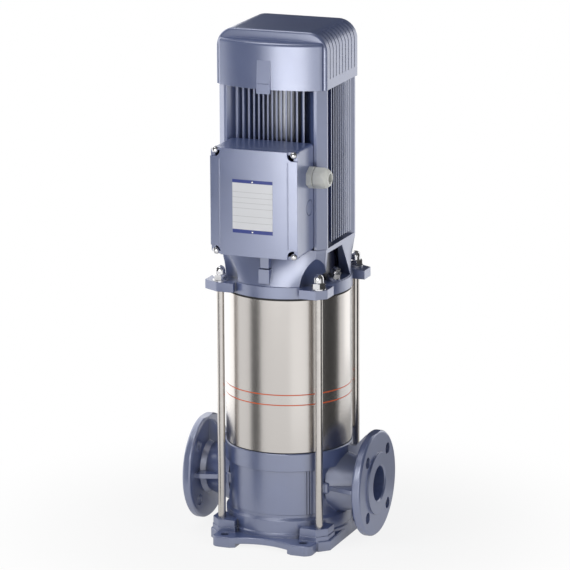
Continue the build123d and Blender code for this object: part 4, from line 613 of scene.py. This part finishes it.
class PUMP_OT_set_stage(bpy.types.Operator):
    """Pale floor, soft lamps, pale surroundings and the camera"""
    bl_idname = "pump.set_stage"
    bl_label = "Stage"

    def execute(self, context):
        self.floor()
        self.surroundings()
        dark, bright = sizes().dark_card, sizes().bright_card
        # each card: bearing in degrees, distance, width, low and high edge, level
        for name, turn, reach, width, low, high, level in (
                ("barrel_left_card", -33, 0.32, 0.10, 0.0, 0.36, dark * 2),
                ("barrel_right_card", 93, 0.36, 0.28, 0.0, 0.37, dark),
                ("barrel_front_card", 38, 0.70, 0.34, 0.0, 0.30, bright * 0.38),
                ("motor_left_card", -42, 0.70, 0.50, 0.37, 1.2, dark * 2),
                ("left_card", -116, 0.55, 0.72, 0.05, 1.3, bright * 0.5),
                ("front_card", 5, 0.70, 0.40, 0.36, 0.80, bright),
                ("lantern_card", -75, 0.60, 0.30, 0.40, 0.62, bright * 0.5),
                ("right_card", 99, 0.70, 0.56, 0.3, 1.1, dark),
                ("flange_card", 143, 0.33, 0.30, 0.0, 0.12, dark * 7),
                ("back_right_card", 150, 0.70, 0.34, 0.10, 0.9, bright * 0.47),
                ("back_card", 203, 0.70, 0.78, 0.0, 1.5, dark)):
            self.card(name, turn, reach, width, low, high, level)
        self.lamp("key_softbox", (-1.3, -1.9, 1.3), 1.3, sizes().key_light, False)
        self.lamp("fill_softbox", (1.9, -0.7, 0.9), 0.9, sizes().fill_light, False)
        self.lamp("top_softbox", (-0.45, -0.45, 2.2), 0.8, sizes().top_light, True)
        self.camera()
        return {"FINISHED"}

    def floor(self):
        """A pale floor that keeps the pump's shadow and is white further out."""
        clear_selection()
        bpy.ops.mesh.primitive_plane_add(size=FLOOR_SIZE, location=(0, 0, -FLOOR_DROP))
        floor = settle(bpy.context.object, "studio_floor")
        f = Finish("studio_floor")
        cloud = f.noise(0.6, 2.0)
        level = colours().floor
        shader = f.add("ShaderNodeBsdfPrincipled", inputs={
            "Base Color": f.mix(cloud, tone(level, 0.99), tone(level, 1.01)),
            "Roughness": 0.8, "Specular IOR Level": 0.1}, output="BSDF")
        white = f.add("ShaderNodeEmission", inputs={"Color": (1, 1, 1, 1)})
        seen = f.add("ShaderNodeLightPath", output="Is Camera Ray")
        mirrored = f.add("ShaderNodeLightPath", output="Is Glossy Ray")
        through = f.add("ShaderNodeLightPath", output="Is Transmission Ray")
        place = f.add("ShaderNodeTexCoord", output="Object")
        reach = f.add("ShaderNodeVectorMath", {"operation": "LENGTH"}, {0: place},
                      output="Value")
        plainness = f.add("ShaderNodeMapRange", {"interpolation_type": "SMOOTHSTEP"}, {
            "Value": reach, "From Min": 0.2, "From Max": 0.6, "To Min": 0.86, "To Max": 1.0})
        sheen = f.add("ShaderNodeMapRange", {"interpolation_type": "SMOOTHSTEP"}, {
            "Value": reach, "From Min": 0.2, "From Max": 0.8, "To Min": 0.45, "To Max": 1.0})
        mixed = f.add("ShaderNodeMixShader", inputs={
            0: (seen + through) * plainness + mirrored * sheen, 1: shader, 2: white})
        floor.data.materials.append(f.finished(mixed))

    def surroundings(self):
        """Pale for the eye, even light for the object, a darker ceiling in reflections."""
        f = Surroundings("white_surroundings")
        seen = (f.add("ShaderNodeLightPath", output="Is Camera Ray")
                + f.add("ShaderNodeLightPath", output="Is Transmission Ray"))
        mirrored = f.add("ShaderNodeLightPath", output="Is Glossy Ray")
        direction = f.add("ShaderNodeTexCoord", output="Generated")
        height = f.add("ShaderNodeSeparateXYZ", inputs={"Vector": direction}, output="Z")
        metal = f.add("ShaderNodeMapRange", {"interpolation_type": "SMOOTHSTEP"}, {
            "Value": height, "From Min": 0.05, "From Max": 0.4,
            "To Min": 1.0, "To Max": sizes().ceiling_level})
        level = seen + (1.0 - seen) * (mirrored * metal + (1.0 - mirrored) * sizes().sky_level)
        sky = f.add("ShaderNodeBackground", inputs={
            "Color": tone((1, 1, 1), SURROUND_TONE), "Strength": level})
        bpy.context.scene.world = f.finished(sky)

    def card(self, name, turn, reach, width, low, high, level):
        """A card beside the pump, seen only in reflections."""
        angle = math.radians(turn)
        spot = Vector((math.sin(angle), -math.cos(angle), 0)) * reach
        clear_selection()
        bpy.ops.mesh.primitive_plane_add(size=1.0)
        card = bpy.context.object
        card.scale = (width, high - low, 1)
        card.rotation_euler = (math.radians(90), 0, angle)
        card.location = spot + Vector((0, 0, (low + high) / 2))
        settle(card, name)
        f = Finish(name)
        shade = f.mix(f.noise(3.0, 2.0), tone((1, 1, 1), 0.94), tone((1, 1, 1), 1.0))
        glow = f.add("ShaderNodeEmission", inputs={"Color": shade, "Strength": level})
        card.data.materials.append(f.finished(glow))
        card.visible_camera = False
        card.visible_diffuse = False
        card.visible_shadow = False
        card.visible_transmission = False

    def lamp(self, name, spot, size, power, mirrored):
        """A soft lamp that looks at the middle of the pump."""
        clear_selection()
        bpy.ops.object.light_add(type="AREA", location=spot)
        lamp = bpy.context.object
        lamp.name = name
        lamp.data.shape = "SQUARE"
        lamp.data.size = size
        lamp.data.energy = power
        lamp.visible_camera = False
        lamp.visible_glossy = mirrored
        aim = PUMP_MIDDLE - Vector(spot)
        lamp.rotation_euler = aim.to_track_quat("-Z", "Y").to_euler()

    def camera(self):
        """The photograph's long lens, fitted to the pump's own edges."""
        turn, rise, roll = (math.radians(angle) for angle in CAMERA_ANGLES)
        back = Vector((math.sin(turn) * math.cos(rise), -math.cos(turn) * math.cos(rise),
                       math.sin(rise)))
        right = Vector((math.cos(turn), math.sin(turn), 0))
        up = back.cross(right)
        right_rolled = right * math.cos(roll) - up * math.sin(roll)
        up_rolled = right * math.sin(roll) + up * math.cos(roll)
        axes = Matrix((right_rolled, up_rolled, back)).transposed().to_4x4()
        clear_selection()
        bpy.ops.object.camera_add()
        camera = bpy.context.object
        camera.matrix_world = Matrix.Translation(PUMP_MIDDLE + back * CAMERA_DISTANCE) @ axes
        camera.data.sensor_width = SENSOR_WIDTH
        camera.data.lens = FOCAL_PIXELS / PHOTO_SIDE * SENSOR_WIDTH
        camera.data.shift_x, camera.data.shift_y = (v / PHOTO_SIDE for v in SHIFT_PIXELS)
        camera.data.clip_end = VIEW_LIMIT
        bpy.context.scene.camera = camera


class PUMP_PT_panel(bpy.types.Panel):
    """Lists the steps that dress the pump"""
    bl_label = "Pump"
    bl_idname = "PUMP_PT_panel"
    bl_space_type = "VIEW_3D"
    bl_region_type = "UI"
    bl_category = "Pump"

    def draw(self, context):
        layout = self.layout
        for step in STEPS:
            layout.operator(step.bl_idname)
        for group in (context.scene.pump_colours, context.scene.pump_sizes):
            box = layout.box()
            for key in group.__annotations__:
                box.prop(group, key)


STEPS = (
    PUMP_OT_paint_castings,
    PUMP_OT_paint_motor,
    PUMP_OT_finish_barrel,
    PUMP_OT_finish_fasteners,
    PUMP_OT_finish_insides,
    PUMP_OT_finish_gland,
    PUMP_OT_plate_rivets,
    PUMP_OT_set_stage,
)
CLASSES = (PumpColours, PumpSizes) + STEPS + (PUMP_PT_panel,)


def register():
    for cls in CLASSES:
        bpy.utils.register_class(cls)
    bpy.types.Scene.pump_colours = bpy.props.PointerProperty(type=PumpColours)
    bpy.types.Scene.pump_sizes = bpy.props.PointerProperty(type=PumpSizes)


def unregister():
    del bpy.types.Scene.pump_sizes
    del bpy.types.Scene.pump_colours
    for cls in reversed(CLASSES):
        bpy.utils.unregister_class(cls)


def main():
    register()
    bpy.context.scene.view_settings.view_transform = "Standard"
    for step in STEPS:
        family, action = step.bl_idname.split(".")
        getattr(getattr(bpy.ops, family), action)()


if __name__ == "__main__":
    main()
